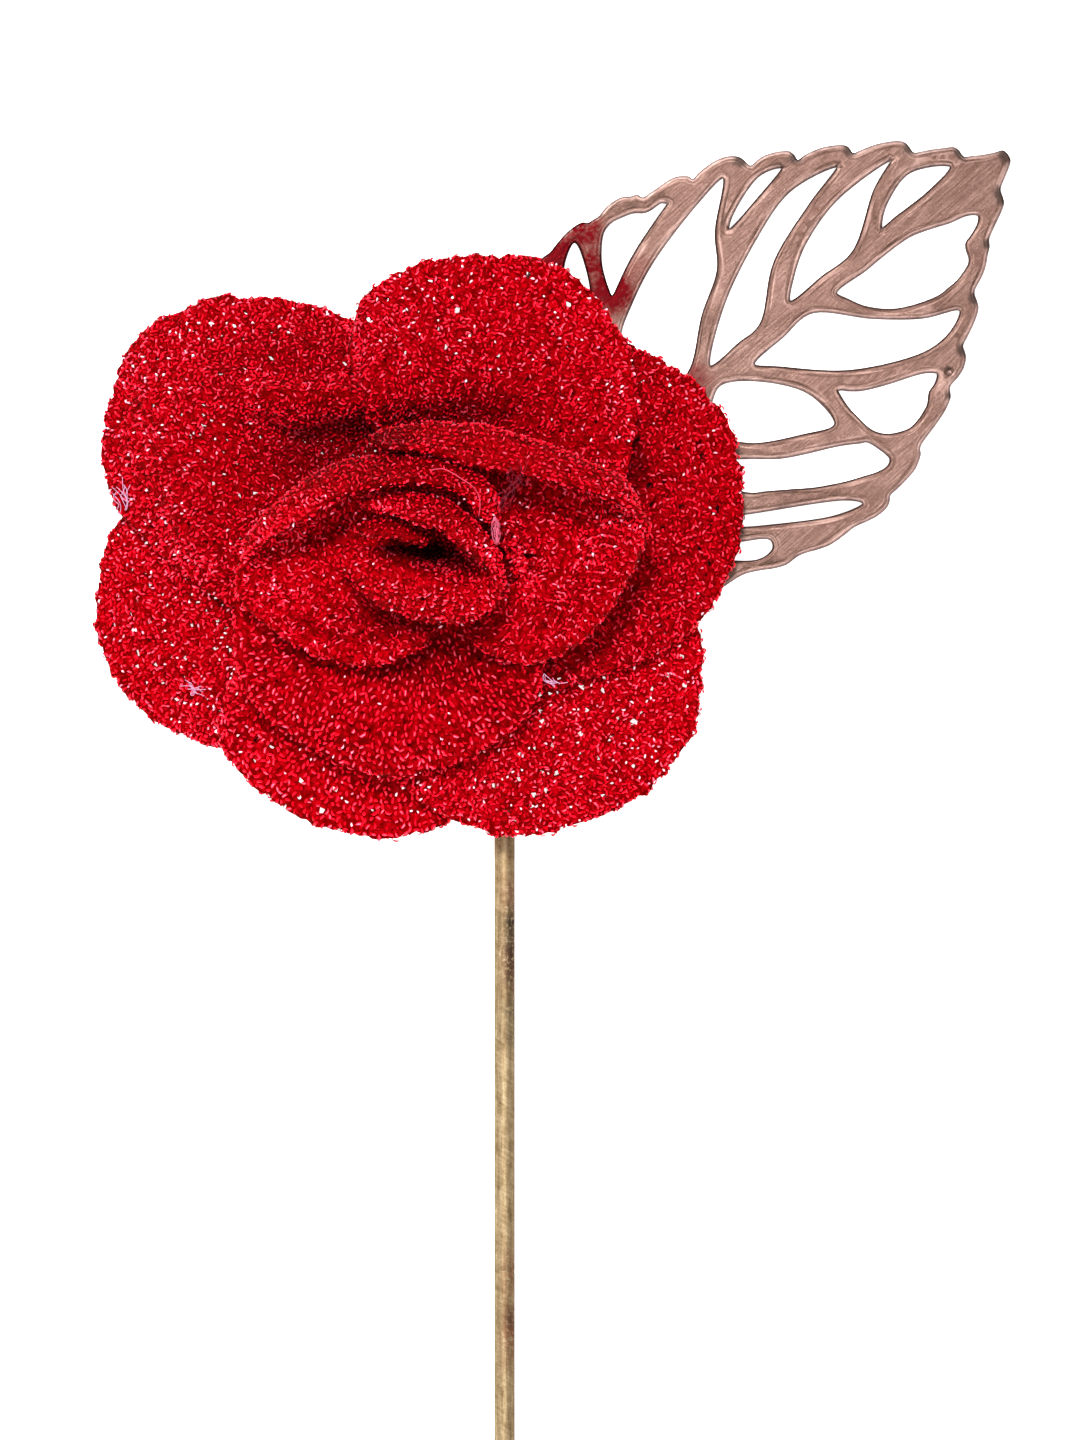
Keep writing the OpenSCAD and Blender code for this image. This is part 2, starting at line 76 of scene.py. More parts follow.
# Petals, as in the part's source. Heights count from the top of the leaf.
# head: middle x, middle y, foot radius.
# Columns of each row: angle, foot height, inner radius and height,
# crest radius and height, rim radius and height.
PETALS = {
    "outer_petal_left_low": ([0, 0, 3], [
        [166, 0.6, 7.5, 0.9, 11.5, 0.6, 15.5, -0.4],
        [174, 0.6, 8.0, 0.9, 13.0, 0.4, 18.0, -1.4],
        [184, 0.6, 8.0, 0.9, 13.5, 0.3, 19.5, -2.2],
        [196, 0.6, 8.0, 0.9, 14.0, 0.2, 20.4, -2.3],
        [208, 0.6, 8.0, 0.9, 14.0, 0.2, 19.9, -2.2],
        [219, 0.6, 8.0, 0.9, 13.5, 0.3, 18.6, -1.8],
        [229, 0.6, 8.0, 0.8, 12.5, 0.4, 16.4, -1.2],
        [238, 0.6, 7.0, 0.7, 10.5, 0.4, 13.5, -0.6],
    ]),
    "outer_petal_low": ([0, 0, 3], [
        [212, 1.8, 6.5, 2.0, 9.5, 2.0, 12.0, 1.8],
        [220, 1.8, 7.5, 2.0, 12.0, 1.8, 15.6, 1.0],
        [228, 1.7, 8.0, 1.9, 13.0, 1.7, 17.4, 0.4],
        [240, 1.4, 8.0, 1.6, 13.0, 1.5, 17.9, 0.0],
        [252, 1.0, 8.0, 1.2, 13.0, 1.2, 18.2, -0.2],
        [264, 0.7, 8.0, 0.9, 13.0, 0.9, 18.0, -0.4],
        [275, 0.6, 8.0, 0.8, 12.5, 0.8, 17.2, -0.4],
        [286, 0.6, 7.5, 0.7, 11.5, 0.7, 15.5, -0.2],
        [294, 0.6, 7.0, 0.7, 10.0, 0.7, 12.5, 0.2],
    ]),
    "outer_petal_right_low": ([0, 0, 3], [
        [262, 1.8, 7.0, 2.0, 10.5, 2.1, 13.6, 2.0],
        [270, 1.8, 7.5, 2.0, 12.0, 2.1, 15.4, 1.4],
        [278, 1.7, 8.0, 2.0, 12.5, 2.0, 17.0, 1.0],
        [288, 1.7, 8.0, 1.9, 13.0, 2.0, 18.7, 0.6],
        [300, 1.4, 8.0, 1.6, 13.5, 1.8, 19.7, 0.4],
        [312, 0.9, 8.0, 1.3, 13.5, 1.6, 20.5, 0.2],
        [324, 0.7, 8.0, 1.0, 13.5, 1.3, 20.5, 0.0],
        [336, 0.6, 8.0, 0.9, 13.0, 1.1, 19.1, 0.2],
        [346, 0.6, 8.0, 0.8, 12.5, 0.9, 17.3, 0.6],
        [355, 0.6, 7.5, 0.7, 11.0, 0.9, 14.5, 0.8],
    ]),
    "outer_petal_right": ([0, 0, 3], [
        [314, 1.8, 7.0, 2.2, 10.0, 2.5, 12.4, 2.6],
        [322, 1.8, 7.5, 2.2, 10.8, 2.4, 13.2, 2.4],
        [332, 1.8, 8.0, 2.2, 12.0, 2.3, 15.3, 2.0],
        [342, 1.7, 8.0, 2.1, 13.0, 2.2, 17.4, 1.6],
        [354, 1.6, 8.0, 2.0, 13.5, 2.1, 19.1, 1.2],
        [368, 1.1, 8.0, 1.6, 13.5, 1.9, 20.1, 1.0],
        [382, 0.8, 8.0, 1.2, 13.5, 1.7, 20.4, 0.8],
        [394, 0.6, 8.0, 1.0, 13.0, 1.4, 19.2, 0.7],
        [404, 0.6, 8.0, 0.9, 12.5, 1.2, 17.7, 0.6],
        [414, 0.6, 7.5, 0.8, 11.0, 1.0, 15.0, 0.6],
    ]),
    "outer_petal_left_top": ([0, 0, 3], [
        [97, 0.6, 6.3, 0.5, 8.9, 2.2, 11.5, 1.5],
        [108, 0.6, 6.5, 0.6, 9.3, 3.4, 14.6, 1.9],
        [120, 0.6, 7.0, 0.8, 10.2, 4.4, 17.3, 1.8],
        [132, 0.7, 8.2, 1.1, 11.8, 4.6, 19.9, 1.2],
        [144, 0.9, 9.8, 1.8, 15.4, 4.2, 21.2, 0.8],
        [156, 1.2, 9.5, 2.2, 15.5, 3.4, 20.7, 0.4],
        [168, 1.5, 9.0, 2.4, 14.5, 2.6, 19.4, -0.2],
        [180, 1.7, 8.5, 2.4, 12.8, 2.1, 16.2, 0.2],
        [190, 1.8, 8.0, 2.4, 10.8, 2.3, 13.6, 1.4],
        [200, 1.8, 7.0, 2.4, 9.3, 2.5, 11.6, 2.2],
    ]),
    "outer_petal_top": ([0, 0, 3], [
        [10, 2.2, 7.0, 2.7, 9.5, 3.0, 11.5, 3.0],
        [18, 2.0, 7.5, 2.6, 10.5, 3.1, 13.3, 2.8],
        [26, 1.8, 8.0, 2.5, 11.5, 3.0, 14.7, 2.6],
        [36, 1.8, 8.0, 2.4, 12.0, 3.0, 16.6, 2.2],
        [48, 1.8, 8.0, 2.2, 12.5, 3.0, 18.2, 2.0],
        [60, 1.8, 7.8, 2.1, 12.5, 3.2, 19.0, 2.0],
        [72, 1.8, 7.5, 2.0, 12.0, 3.6, 18.5, 2.4],
        [84, 1.8, 7.2, 1.9, 11.0, 4.0, 17.6, 2.8],
        [95, 1.8, 7.0, 1.9, 10.3, 4.4, 16.4, 3.2],
        [104, 1.8, 6.6, 2.4, 9.8, 5.3, 14.8, 3.6],
        [110, 1.8, 6.3, 2.5, 8.8, 5.4, 11.5, 5.2],
    ]),
    "middle_petal": ([0, 0, 3], [
        [178, 3.2, 6.5, 3.7, 8.5, 4.0, 9.5, 4.2],
        [190, 3.2, 7.0, 3.7, 9.3, 4.1, 10.8, 4.1],
        [202, 3.2, 7.5, 3.7, 10.0, 4.2, 12.0, 3.9],
        [214, 3.2, 8.0, 3.6, 11.0, 4.2, 13.1, 3.6],
        [226, 3.2, 8.0, 3.6, 11.5, 4.2, 14.0, 3.3],
        [240, 3.2, 8.0, 3.6, 11.5, 4.2, 13.9, 3.2],
        [254, 3.2, 8.0, 3.6, 11.5, 4.2, 14.2, 3.1],
        [268, 3.2, 8.0, 3.6, 11.5, 4.2, 14.0, 3.2],
        [282, 3.2, 8.0, 3.6, 11.0, 4.2, 13.4, 3.4],
        [296, 3.2, 8.0, 3.6, 10.5, 4.1, 12.7, 3.7],
        [308, 3.2, 7.5, 3.7, 9.8, 4.1, 11.9, 4.0],
        [320, 3.2, 7.0, 3.7, 8.5, 4.0, 10.0, 4.2],
    ]),
    "right_cup": ([7.5, -0.7, 1.6], [
        [-132, 4.6, 3.0, 4.8, 5.0, 5.2, 6.6, 5.4],
        [-115, 4.6, 3.0, 4.8, 5.0, 5.3, 6.6, 5.6],
        [-95, 4.6, 3.0, 4.8, 5.0, 5.6, 6.6, 5.9],
        [-75, 4.6, 2.8, 4.8, 4.6, 5.8, 6.0, 6.2],
        [-55, 4.6, 2.6, 4.7, 4.2, 6.0, 5.5, 6.5],
        [-35, 4.6, 2.6, 4.5, 4.2, 6.1, 5.4, 6.7],
        [-15, 4.6, 2.6, 4.4, 4.3, 6.3, 5.5, 7.0],
        [0, 4.6, 2.8, 4.3, 4.7, 6.5, 6.0, 7.4],
        [14, 4.6, 3.0, 4.3, 5.4, 6.9, 6.7, 8.0],
        [26, 4.6, 3.6, 4.3, 6.4, 7.5, 6.3, 9.3],
        [38, 4.6, 4.2, 4.3, 6.7, 8.0, 5.5, 9.8],
        [52, 4.6, 4.4, 4.2, 6.3, 8.1, 4.9, 10.1],
        [66, 4.6, 4.4, 4.2, 6.1, 8.2, 4.7, 10.2],
        [82, 4.6, 4.5, 4.2, 6.3, 8.2, 4.6, 10.2],
        [97, 4.6, 5.0, 4.2, 7.0, 8.2, 4.9, 10.2],
        [111, 4.5, 5.8, 4.2, 8.1, 8.2, 5.5, 10.2],
        [124, 4.4, 7.0, 4.2, 9.3, 8.2, 6.6, 10.3],
        [136, 4.4, 8.6, 4.2, 11.1, 8.1, 9.0, 10.7],
        [146, 4.4, 9.8, 4.3, 12.3, 8.0, 11.3, 10.2],
    ]),
    "left_cup": ([-3.7, -1.2, 1.6], [
        [18, 5.8, 6.0, 6.0, 8.9, 8.4, 8.2, 9.8],
        [28, 5.8, 6.6, 6.0, 9.3, 8.8, 7.9, 10.8],
        [40, 5.8, 6.2, 6.0, 8.7, 9.0, 7.2, 11.2],
        [52, 5.8, 5.0, 6.0, 7.8, 9.2, 6.2, 11.4],
        [66, 5.8, 4.6, 6.0, 6.9, 9.2, 5.2, 11.5],
        [82, 5.8, 4.2, 5.8, 6.2, 9.2, 4.5, 11.5],
        [100, 5.8, 3.9, 5.3, 5.9, 9.2, 4.1, 11.4],
        [120, 5.8, 3.8, 4.8, 5.6, 9.1, 3.9, 11.2],
        [140, 5.8, 3.8, 4.7, 5.7, 8.8, 4.1, 10.6],
        [158, 5.8, 4.2, 4.9, 6.2, 8.2, 4.9, 9.6],
        [172, 5.8, 4.4, 5.1, 6.6, 7.4, 6.1, 8.4],
        [186, 5.8, 4.2, 5.2, 6.2, 6.6, 7.2, 7.2],
        [200, 5.8, 4.0, 5.3, 5.8, 6.0, 7.15, 6.5],
        [216, 5.8, 4.0, 5.3, 5.4, 5.8, 6.55, 6.1],
        [236, 5.8, 4.0, 5.3, 5.0, 5.8, 6.1, 6.0],
        [256, 5.8, 4.0, 5.3, 5.0, 5.7, 6.0, 5.9],
        [276, 5.8, 4.0, 5.3, 5.1, 5.7, 6.2, 5.9],
        [296, 5.8, 4.0, 5.4, 5.2, 5.8, 6.35, 6.0],
        [312, 5.8, 4.0, 5.6, 5.3, 6.1, 6.4, 6.3],
        [326, 5.8, 4.0, 5.9, 5.2, 6.6, 6.3, 6.8],
    ]),
    "heart_cup": ([0.9, -0.3, 0.9], [
        [-178, 7.0, 1.4, 7.8, 3.6, 9.4, 5.4, 8.8],
        [-165, 7.0, 1.2, 7.8, 2.4, 9.7, 5.3, 8.6],
        [-150, 7.0, 1.1, 8.0, 2.1, 9.9, 5.05, 8.4],
        [-130, 7.0, 1.1, 8.0, 2.0, 10.0, 4.55, 8.3],
        [-110, 7.0, 1.1, 8.0, 1.9, 10.0, 4.25, 8.3],
        [-90, 7.0, 1.1, 8.0, 2.1, 10.0, 4.3, 8.3],
        [-70, 7.0, 1.3, 8.0, 2.4, 9.8, 4.65, 8.4],
        [-52, 7.0, 1.7, 8.0, 3.2, 9.4, 5.15, 8.7],
        [-38, 7.0, 2.2, 8.0, 4.1, 9.2, 5.2, 9.6],
        [-27, 7.0, 2.6, 8.0, 4.7, 9.4, 4.6, 10.5],
        [-16, 7.0, 2.6, 7.9, 4.4, 9.8, 3.4, 11.2],
        [-2, 7.0, 2.1, 7.8, 3.8, 10.0, 2.1, 12.0],
        [14, 7.0, 1.9, 7.8, 3.2, 10.2, 1.7, 12.2],
        [32, 7.0, 1.8, 7.8, 2.9, 10.2, 1.4, 12.4],
        [52, 7.0, 1.8, 7.8, 2.8, 10.2, 1.35, 12.4],
        [76, 7.0, 1.8, 7.8, 2.8, 10.2, 1.4, 12.4],
        [100, 7.0, 1.9, 7.8, 3.0, 10.2, 1.5, 12.3],
        [118, 7.0, 2.1, 7.8, 3.5, 10.1, 1.8, 12.1],
        [132, 7.0, 2.4, 7.8, 4.1, 9.9, 2.6, 11.6],
        [146, 7.0, 2.8, 7.8, 4.8, 9.4, 3.8, 10.6],
    ]),
    "heart_bud": ([-1.7, -2.6, 3.3], [
        [48, 8.7, 3.4, 9.2, 3.6, 9.9, 3.4, 10.6],
        [66, 8.7, 3.4, 9.3, 3.7, 10.1, 3.1, 11.0],
        [84, 8.8, 3.45, 9.4, 3.75, 10.2, 3.0, 11.1],
        [102, 8.9, 3.5, 9.5, 3.8, 10.2, 3.1, 11.0],
        [118, 9.1, 3.6, 9.6, 3.9, 10.1, 3.6, 10.6],
    ]),
}

# How the cloth of each petal looks. The pattern of its grains is scattered, or drops that run up the petal.
# The last column is painted light and shade for the whole petal: above 1 lighter, below 1 darker
ClothLook = namedtuple(
    "ClothLook", "crumple crumple_length open_share grain_length grain_width pattern pitch bright_share tone")
CLOTH_LOOKS = {
    "outer_petal_left_low": [0.16, 4.0, 0.12, 0.40, 0.16, "scattered", 0.29, 0.58, 1.08],
    "outer_petal_low": [0.14, 3.5, 0.04, 0.46, 0.19, "drops", 0.36, 0.80, 1.32],
    "outer_petal_right_low": [0.14, 4.0, 0.07, 0.40, 0.16, "scattered", 0.29, 0.60, 1.08],
    "outer_petal_right": [0.14, 4.0, 0.06, 0.40, 0.16, "scattered", 0.29, 0.52, 0.86],
    "outer_petal_left_top": [0.16, 3.5, 0.07, 0.40, 0.16, "scattered", 0.29, 0.55, 0.95],
    "outer_petal_top": [0.18, 3.0, 0.06, 0.40, 0.16, "scattered", 0.29, 0.55, 1.0],
    "middle_petal": [0.10, 3.5, 0.03, 0.48, 0.20, "drops", 0.37, 0.82, 1.15],
    "right_cup": [0.06, 3.0, 0.02, 0.40, 0.16, "scattered", 0.30, 0.58, 0.98],
    "left_cup": [0.07, 3.0, 0.02, 0.38, 0.15, "scattered", 0.29, 0.57, 1.10],
    "heart_cup": [0.08, 2.5, 0.02, 0.37, 0.15, "scattered", 0.29, 0.55, 1.08],
    "heart_bud": [0.04, 2.0, 0.0, 0.36, 0.14, "scattered", 0.29, 0.40, 0.66],
}
# Painted shade: how much darker the cloth below drops looks next to them
DROPS_GROUND = 0.85
# Painted shade on the wide petals: how dark they are near the rose's middle, how much lighter they get outwards, and
# from where and over what distance
OUTER_TONE, OUTER_TONE_RISE = 0.86, 0.2
OUTER_TONE_FROM, OUTER_TONE_OVER = 10, 9
# Painted shade at the heart cup's foot: how dark it is there, and the v up to which it lightens
FOOT_TONE = 0.2
FOOT_TONE_TO = 1.2
# Painted shade in hollows and under overhangs, in plan from the rose's middle. Columns: x, y, half width, half height,
# amount
SHADED_HOLLOWS = {
    "heart_cup": [[-0.1, -0.4, 2.9, 0.65, 0.9], [0.9, -1.1, 3.2, 0.7, 0.5]],
    "left_cup": [[-1.6, -4.6, 3.6, 1.5, 0.42], [1.8, -5.7, 2.6, 1.3, 0.3]],
    "right_cup": [[-2.0, 5.9, 1.8, 1.4, 0.55], [3.2, -6.2, 2.4, 1.6, 0.35]],
    "middle_petal": [[-7.9, -6.5, 2.8, 1.0, 0.3], [1.4, -7.2, 4.6, 1.8, 0.48], [5.6, -9.6, 2.5, 1.5, 0.25]],
    "outer_petal_left_low": [[-11.3, -10.6, 1.0, 2.2, 0.25]],
    "outer_petal_low": [[-11.3, -10.6, 1.0, 2.2, 0.25]],
    "outer_petal_left_top": [[-5.2, 5.9, 4.4, 2.4, 0.44], [-1.5, 7.1, 2.2, 0.9, 0.5], [-6.7, 11.6, 4.8, 1.6, 0.25],
                             [-11.9, 10.3, 1.3, 1.6, 0.2]],
    "outer_petal_top": [[1.4, 7.9, 4.2, 1.1, 0.52], [4.6, 8.7, 2.8, 1.2, 0.28], [-3.7, 11.0, 0.8, 4.0, 0.25]],
    "outer_petal_right": [[13.4, 4.8, 0.9, 1.9, 0.6]],
}
# Painted shade on the backs of the cups' hoods, where they face the top: how much darker they are
HOOD_BACK_SHADES = {"left_cup": 0.72, "right_cup": 0.35, "heart_cup": 0.5}
# The size each petal's cloth was cut to. Columns: width, length, area (a petal is rounded, so it isn't the whole
# rectangle). The bud is the rolled end of the heart cup's cloth.
FLAT_SIZES = {
    "outer_petal_left_low": [28, 18, 230],
    "outer_petal_low": [30, 16, 215],
    "outer_petal_right_low": [34, 18, 290],
    "outer_petal_right": [35, 18, 290],
    "outer_petal_left_top": [39, 20, 340],
    "outer_petal_top": [35, 17, 265],
    "middle_petal": [34, 12, 210],
    "right_cup": [34, 16, 235],
    "left_cup": [36, 12, 225],
    "heart_cup": [24, 10, 110],
}
# Creases across the petals, in plan from the rose's middle.
# Columns: x and y of one end, x and y of the other, height (below zero for a valley), half width.
# The powers shape their slopes: ridges are sharp, and valleys are round.
RIDGE_POWER, VALLEY_POWER = 1.3, 2
CREASES = {
    "outer_petal_left_top": [
        [-14.6, 9.0, -9.1, 9.1, 0.25, 0.45], [-9.1, 9.1, -3.0, 9.0, 0.6, 0.45], [-3.0, 9.0, 0.6, 8.6, 0.5, 0.45],
        [-10.0, 10.5, -1.0, 10.4, -0.35, 1.0], [-9.4, 9.9, -2.2, 9.9, 0.2, 0.3],
        [-10.0, 6.9, -2.0, 7.1, -0.5, 1.2], [-8.0, 5.6, -3.0, 6.2, -0.3, 1.2],
    ],
    "outer_petal_top": [
        [1.9, 8.8, 0.6, 13.8, 0.3, 0.6], [3.9, 8.2, 4.6, 12.5, -0.35, 0.7], [5.8, 9.0, 8.2, 14.0, 0.3, 0.7],
        [9.2, 8.6, 12.0, 11.5, -0.2, 0.9],
    ],
    "outer_petal_right": [[11.0, 3.0, 17.0, 5.0, 0.2, 1.0], [12.0, -1.0, 18.0, -2.0, -0.2, 1.0]],
    "outer_petal_right_low": [[4.0, -9.0, 6.0, -15.0, 0.2, 0.9], [10.0, -9.0, 14.0, -12.0, -0.2, 1.0]],
    "outer_petal_left_low": [[-12.0, -4.0, -17.0, -6.5, -0.25, 0.9], [-12.0, -1.5, -17.5, -1.0, 0.2, 1.0]],
    "middle_petal": [[-4.0, -9.0, -5.5, -12.5, -0.2, 0.9], [2.0, -9.0, 2.5, -13.0, 0.15, 0.8]],
}

# The leaf in its own plane, as in the part's source: x along the midrib from the base, y across it
LEAF_BASE = ROSE_MIDDLE + [8.8, 3.4, 0]
LEAF_TURN = np.radians(36.1)
LEAF_BEND_R = 300.0
LEAF_THICKNESS = 0.7
# Turns a row of coordinates from the leaf's plane
LEAF_TO_ROSE = np.array([[np.cos(LEAF_TURN), np.sin(LEAF_TURN)], [-np.sin(LEAF_TURN), np.cos(LEAF_TURN)]])
LEAF_MARGIN = [
    [7.58, 12.22], [8.11, 12.22], [8.79, 12.41], [9.60, 12.58], [10.23, 12.62], [10.79, 12.55], [11.07, 12.31],
    [11.43, 12.28], [11.87, 12.26], [12.53, 12.43], [13.23, 12.45], [13.76, 12.34], [14.18, 12.07], [14.55, 11.95],
    [14.74, 11.59], [15.25, 11.56], [15.85, 11.54], [16.45, 11.53], [17.01, 11.46], [17.46, 11.25], [17.80, 10.97],
    [17.90, 10.70], [18.35, 10.79], [18.99, 10.83], [19.66, 10.80], [20.30, 10.64], [20.79, 10.36], [21.10, 9.95],
    [21.18, 9.54], [21.29, 9.27], [21.77, 9.31], [22.29, 9.28], [22.91, 9.09], [23.47, 8.80], [23.75, 8.56],
    [23.85, 8.18], [23.84, 7.85], [24.30, 7.85], [24.92, 7.75], [25.55, 7.57], [26.17, 7.27], [26.64, 6.97],
    [26.85, 6.62], [26.85, 6.21], [27.15, 6.10], [27.68, 5.98], [28.31, 5.80], [28.95, 5.52], [29.54, 5.18],
    [29.84, 4.85], [29.90, 4.42], [29.92, 4.02], [30.36, 3.78], [30.93, 3.52], [31.59, 3.16], [32.08, 2.88],
    [32.27, 2.52], [32.28, 2.01], [32.70, 1.75], [33.36, 1.38], [33.99, 1.09], [34.42, 0.94], [34.57, 0.63],
    [34.52, 0.13], [34.10, -0.22], [33.54, -0.57], [32.95, -0.95], [32.78, -1.40], [32.60, -1.80], [32.12, -2.15],
    [31.40, -2.54], [30.69, -2.94], [30.45, -3.16], [30.26, -3.47], [29.87, -3.80], [29.42, -4.24], [28.82, -4.65],
    [28.06, -5.01], [27.79, -5.27], [27.66, -5.71], [27.50, -6.09], [27.09, -6.44], [26.46, -6.83], [25.78, -7.18],
    [25.33, -7.42], [25.21, -7.75], [25.03, -8.15], [24.54, -8.56], [23.93, -8.81], [23.25, -8.96], [22.99, -9.27],
    [22.79, -9.58], [22.06, -10.01], [21.27, -10.31], [20.43, -10.57], [19.73, -10.79], [19.41, -11.01],
    [19.22, -11.33], [18.48, -11.82], [17.63, -12.04], [16.81, -12.17], [16.27, -12.23], [15.96, -12.54],
    [15.51, -12.75], [14.79, -12.79], [14.04, -12.67], [13.31, -12.52], [12.61, -12.54], [11.99, -12.55],
    [11.34, -12.50], [10.65, -12.30], [9.93, -12.03], [9.33, -11.91], [8.56, -11.92], [7.77, -11.64], [7.00, -11.24],
    [6.25, -10.91], [5.65, -10.79], [4.99, -10.76], [4.26, -10.72], [3.61, -10.56], [2.94, -10.22], [2.1, -8.6],
    [0.3, -5.0], [-0.1, -0.7], [0.4, 3.2], [2.0, 7.7], [4.4, 10.8], [6.3, 12.0],
]
# Painted shade on the ends of its teeth: dark caps there, and how dark they are. Columns: x, y, radius
SPOT_SHADE = 0.9
TOOTH_CAPS = [
    [20.97, 9.89, 0.46], [23.83, 8.04, 0.44], [26.81, 6.46, 0.46], [29.95, 4.38, 0.50], [32.33, 2.28, 0.50],
    [34.43, 0.54, 0.52], [32.76, -1.16, 0.46], [32.69, -1.57, 0.44], [30.31, -3.25, 0.36], [27.64, -5.47, 0.42],
    [25.21, -7.60, 0.42], [22.90, -9.45, 0.32],
]
# The holes between its veins are this much narrower than in the list
HOLE_INSET = 0.10
LEAF_HOLES = [
    [[8.2, 11.0], [9.6, 11.9], [9.7, 11.0], [8.5, 8.4], [6.6, 7.4], [7.0, 9.2]],
    [[15.81, 10.39], [15.61, 10.27], [14.39, 9.86], [12.85, 9.31], [11.36, 8.63], [9.94, 7.84], [9.61, 7.74],
     [9.55, 7.97], [9.85, 8.97], [10.26, 9.89], [10.88, 10.74], [11.41, 11.26], [11.87, 11.47], [12.41, 11.53],
     [13.21, 11.37], [13.76, 11.19], [14.21, 10.87], [14.65, 10.74], [15.11, 10.74], [15.47, 10.71]],
    [[7.7, 2.4], [8.3, 5.2], [10.4, 6.8], [13.3, 8.2], [17.4, 9.4], [19.5, 9.6], [17.2, 7.3], [15.8, 5.2],
     [13.4, 3.5], [10.9, 1.3], [8.6, 1.0]],
    [[17.9, 6.8], [18.7, 7.6], [21.2, 8.5], [22.8, 8.0], [20.7, 7.4]],
    [[11.9, 0.8], [14.8, 3.3], [18.5, 5.3], [22.2, 6.6], [25.6, 6.1], [22.9, 5.2], [19.0, 3.6], [16.2, 1.1],
     [14.2, 0.8]],
    [[18.3, 1.0], [19.2, 2.1], [21.3, 3.5], [24.5, 4.5], [28.5, 4.5], [26.5, 3.5], [23.4, 1.3], [20.7, 1.1]],
    [[25.5, 1.4], [26.7, 2.5], [29.0, 3.2], [31.3, 2.0], [29.3, 1.5], [26.7, 1.4]],
    [[30.86, -1.39], [30.82, -1.66], [30.42, -1.99], [29.76, -2.27], [29.25, -2.44], [29.02, -2.81],
     [28.89, -3.25], [28.61, -3.58], [28.09, -3.81], [27.41, -4.01], [26.60, -4.07], [25.83, -4.08],
     [24.48, -3.72], [23.32, -3.22], [22.47, -2.60], [21.73, -1.83], [21.22, -0.97], [20.88, -0.38],
     [20.91, -0.13], [21.38, -0.02], [22.20, -0.04], [23.09, -0.08], [24.21, -0.01], [25.40, 0.04],
     [26.60, 0.01], [27.52, -0.20], [28.39, -0.48], [29.19, -0.75], [29.99, -0.91], [30.53, -1.11]],
    [[26.5, -5.5], [24.3, -4.5], [21.8, -2.7], [19.1, -0.3], [16.6, -0.4], [14.2, -0.7], [15.4, -1.9],
     [18.6, -4.5], [22.4, -6.2], [24.8, -6.4]],
    [[23.04, -7.78], [22.93, -8.08], [22.49, -8.37], [21.99, -8.54], [21.68, -8.85], [21.35, -9.15],
     [20.57, -9.49], [19.84, -9.65], [19.28, -9.58], [18.57, -9.30], [18.02, -8.90], [17.59, -8.24],
     [17.39, -7.25], [17.27, -6.26], [17.32, -5.30], [17.36, -5.10], [17.64, -5.13], [18.06, -5.50],
     [18.67, -5.92], [19.54, -6.30], [20.57, -6.67], [21.68, -7.02], [22.51, -7.36]],
    [[11.2, -0.7], [12.6, -0.8], [14.7, -2.5], [16.0, -4.4], [16.1, -6.7], [14.1, -6.1], [11.1, -4.6],
     [9.7, -2.5]],
    [[17.51, -10.54], [17.14, -10.73], [16.42, -10.67], [15.44, -10.34], [14.41, -9.97], [13.27, -9.44],
     [12.55, -9.07], [11.40, -8.35], [10.08, -7.54], [9.10, -6.90], [7.6, -4.8], [8.8, -4.2], [10.36, -5.07],
     [11.60, -5.98], [12.44, -6.51], [13.93, -7.18], [14.99, -7.61], [15.90, -8.04], [16.65, -8.47],
     [17.09, -8.71], [17.40, -9.40], [17.62, -10.2]],
    [[6.9, -7.2], [9.6, -8.5], [13.6, -10.6], [14.6, -11.7], [12.5, -11.2], [9.5, -9.6], [7.3, -8.2]],
    [[5.2, -7.8], [6.9, -8.9], [8.6, -9.9], [8.4, -10.7], [7.1, -10.6], [5.4, -9.2]],
]
# Red dye that the cloth has left on the leaf. Columns: x and y from the rose's middle, radius, strength
DYE_SPOTS = [
    [8.6, 17.6, 2.2, 1.0], [10.3, 19.3, 1.4, 0.9], [10.9, 17.3, 1.3, 0.9], [11.9, 15.6, 1.7, 1.0],
    [13.6, 16.6, 1.3, 0.45], [17.0, 10.2, 1.2, 0.7],
]
# A pit in the leaf's margin. Columns: x and y from the rose's middle, radius, depth
LEAF_PITS = [[32.75, 10.75, 0.30, 0.10]]
# The edges of its front are rounded this far in and this deep, those of its back this deep, and a groove runs along
# the front ones: distance from the edge, half width, depth
ROUNDING, FRONT_ROUNDING, BACK_ROUNDING = 0.18, 0.12, 0.14
GROOVE_AT, GROOVE_HALF, GROOVE_DEPTH = 0.25, 0.08, 0.012
# The way, in plan, that its lit edges face, and from which share of up an edge is part of its upper rim
LIT_WAY = [0.62, -0.78]
UPPER_FROM = 0.45
# The leaf's mesh: the size of a cell, rows of points at these distances from its edges, and rings round its pits
# (share of the radius, points)
LEAF_CELL = 0.3
EDGE_ROWS = (0.05, 0.11, 0.17, 0.25, 0.33, 0.42)
PIT_RINGS = ((0.3, 8), (0.6, 14), (0.9, 18), (1.2, 22))

# The pin from the rose's middle, as in the part's source
PIN_X = 5.35
PIN_END_Y = 1.0
PIN_SQUARED = 7.0
PIN_LENGTH = 70.0
PIN_POINT = 6.0
PIN_POINT_R = 0.12
# A nick round the wire, at this distance from its end, as (distance along it, share of the radius), and how many
# points go round the wire
PIN_NICK = 45.8
NICK_RINGS = ((-0.09, 1.0), (-0.04, 0.955), (0.04, 0.955), (0.09, 1.0))
WIRE_POINTS = 64
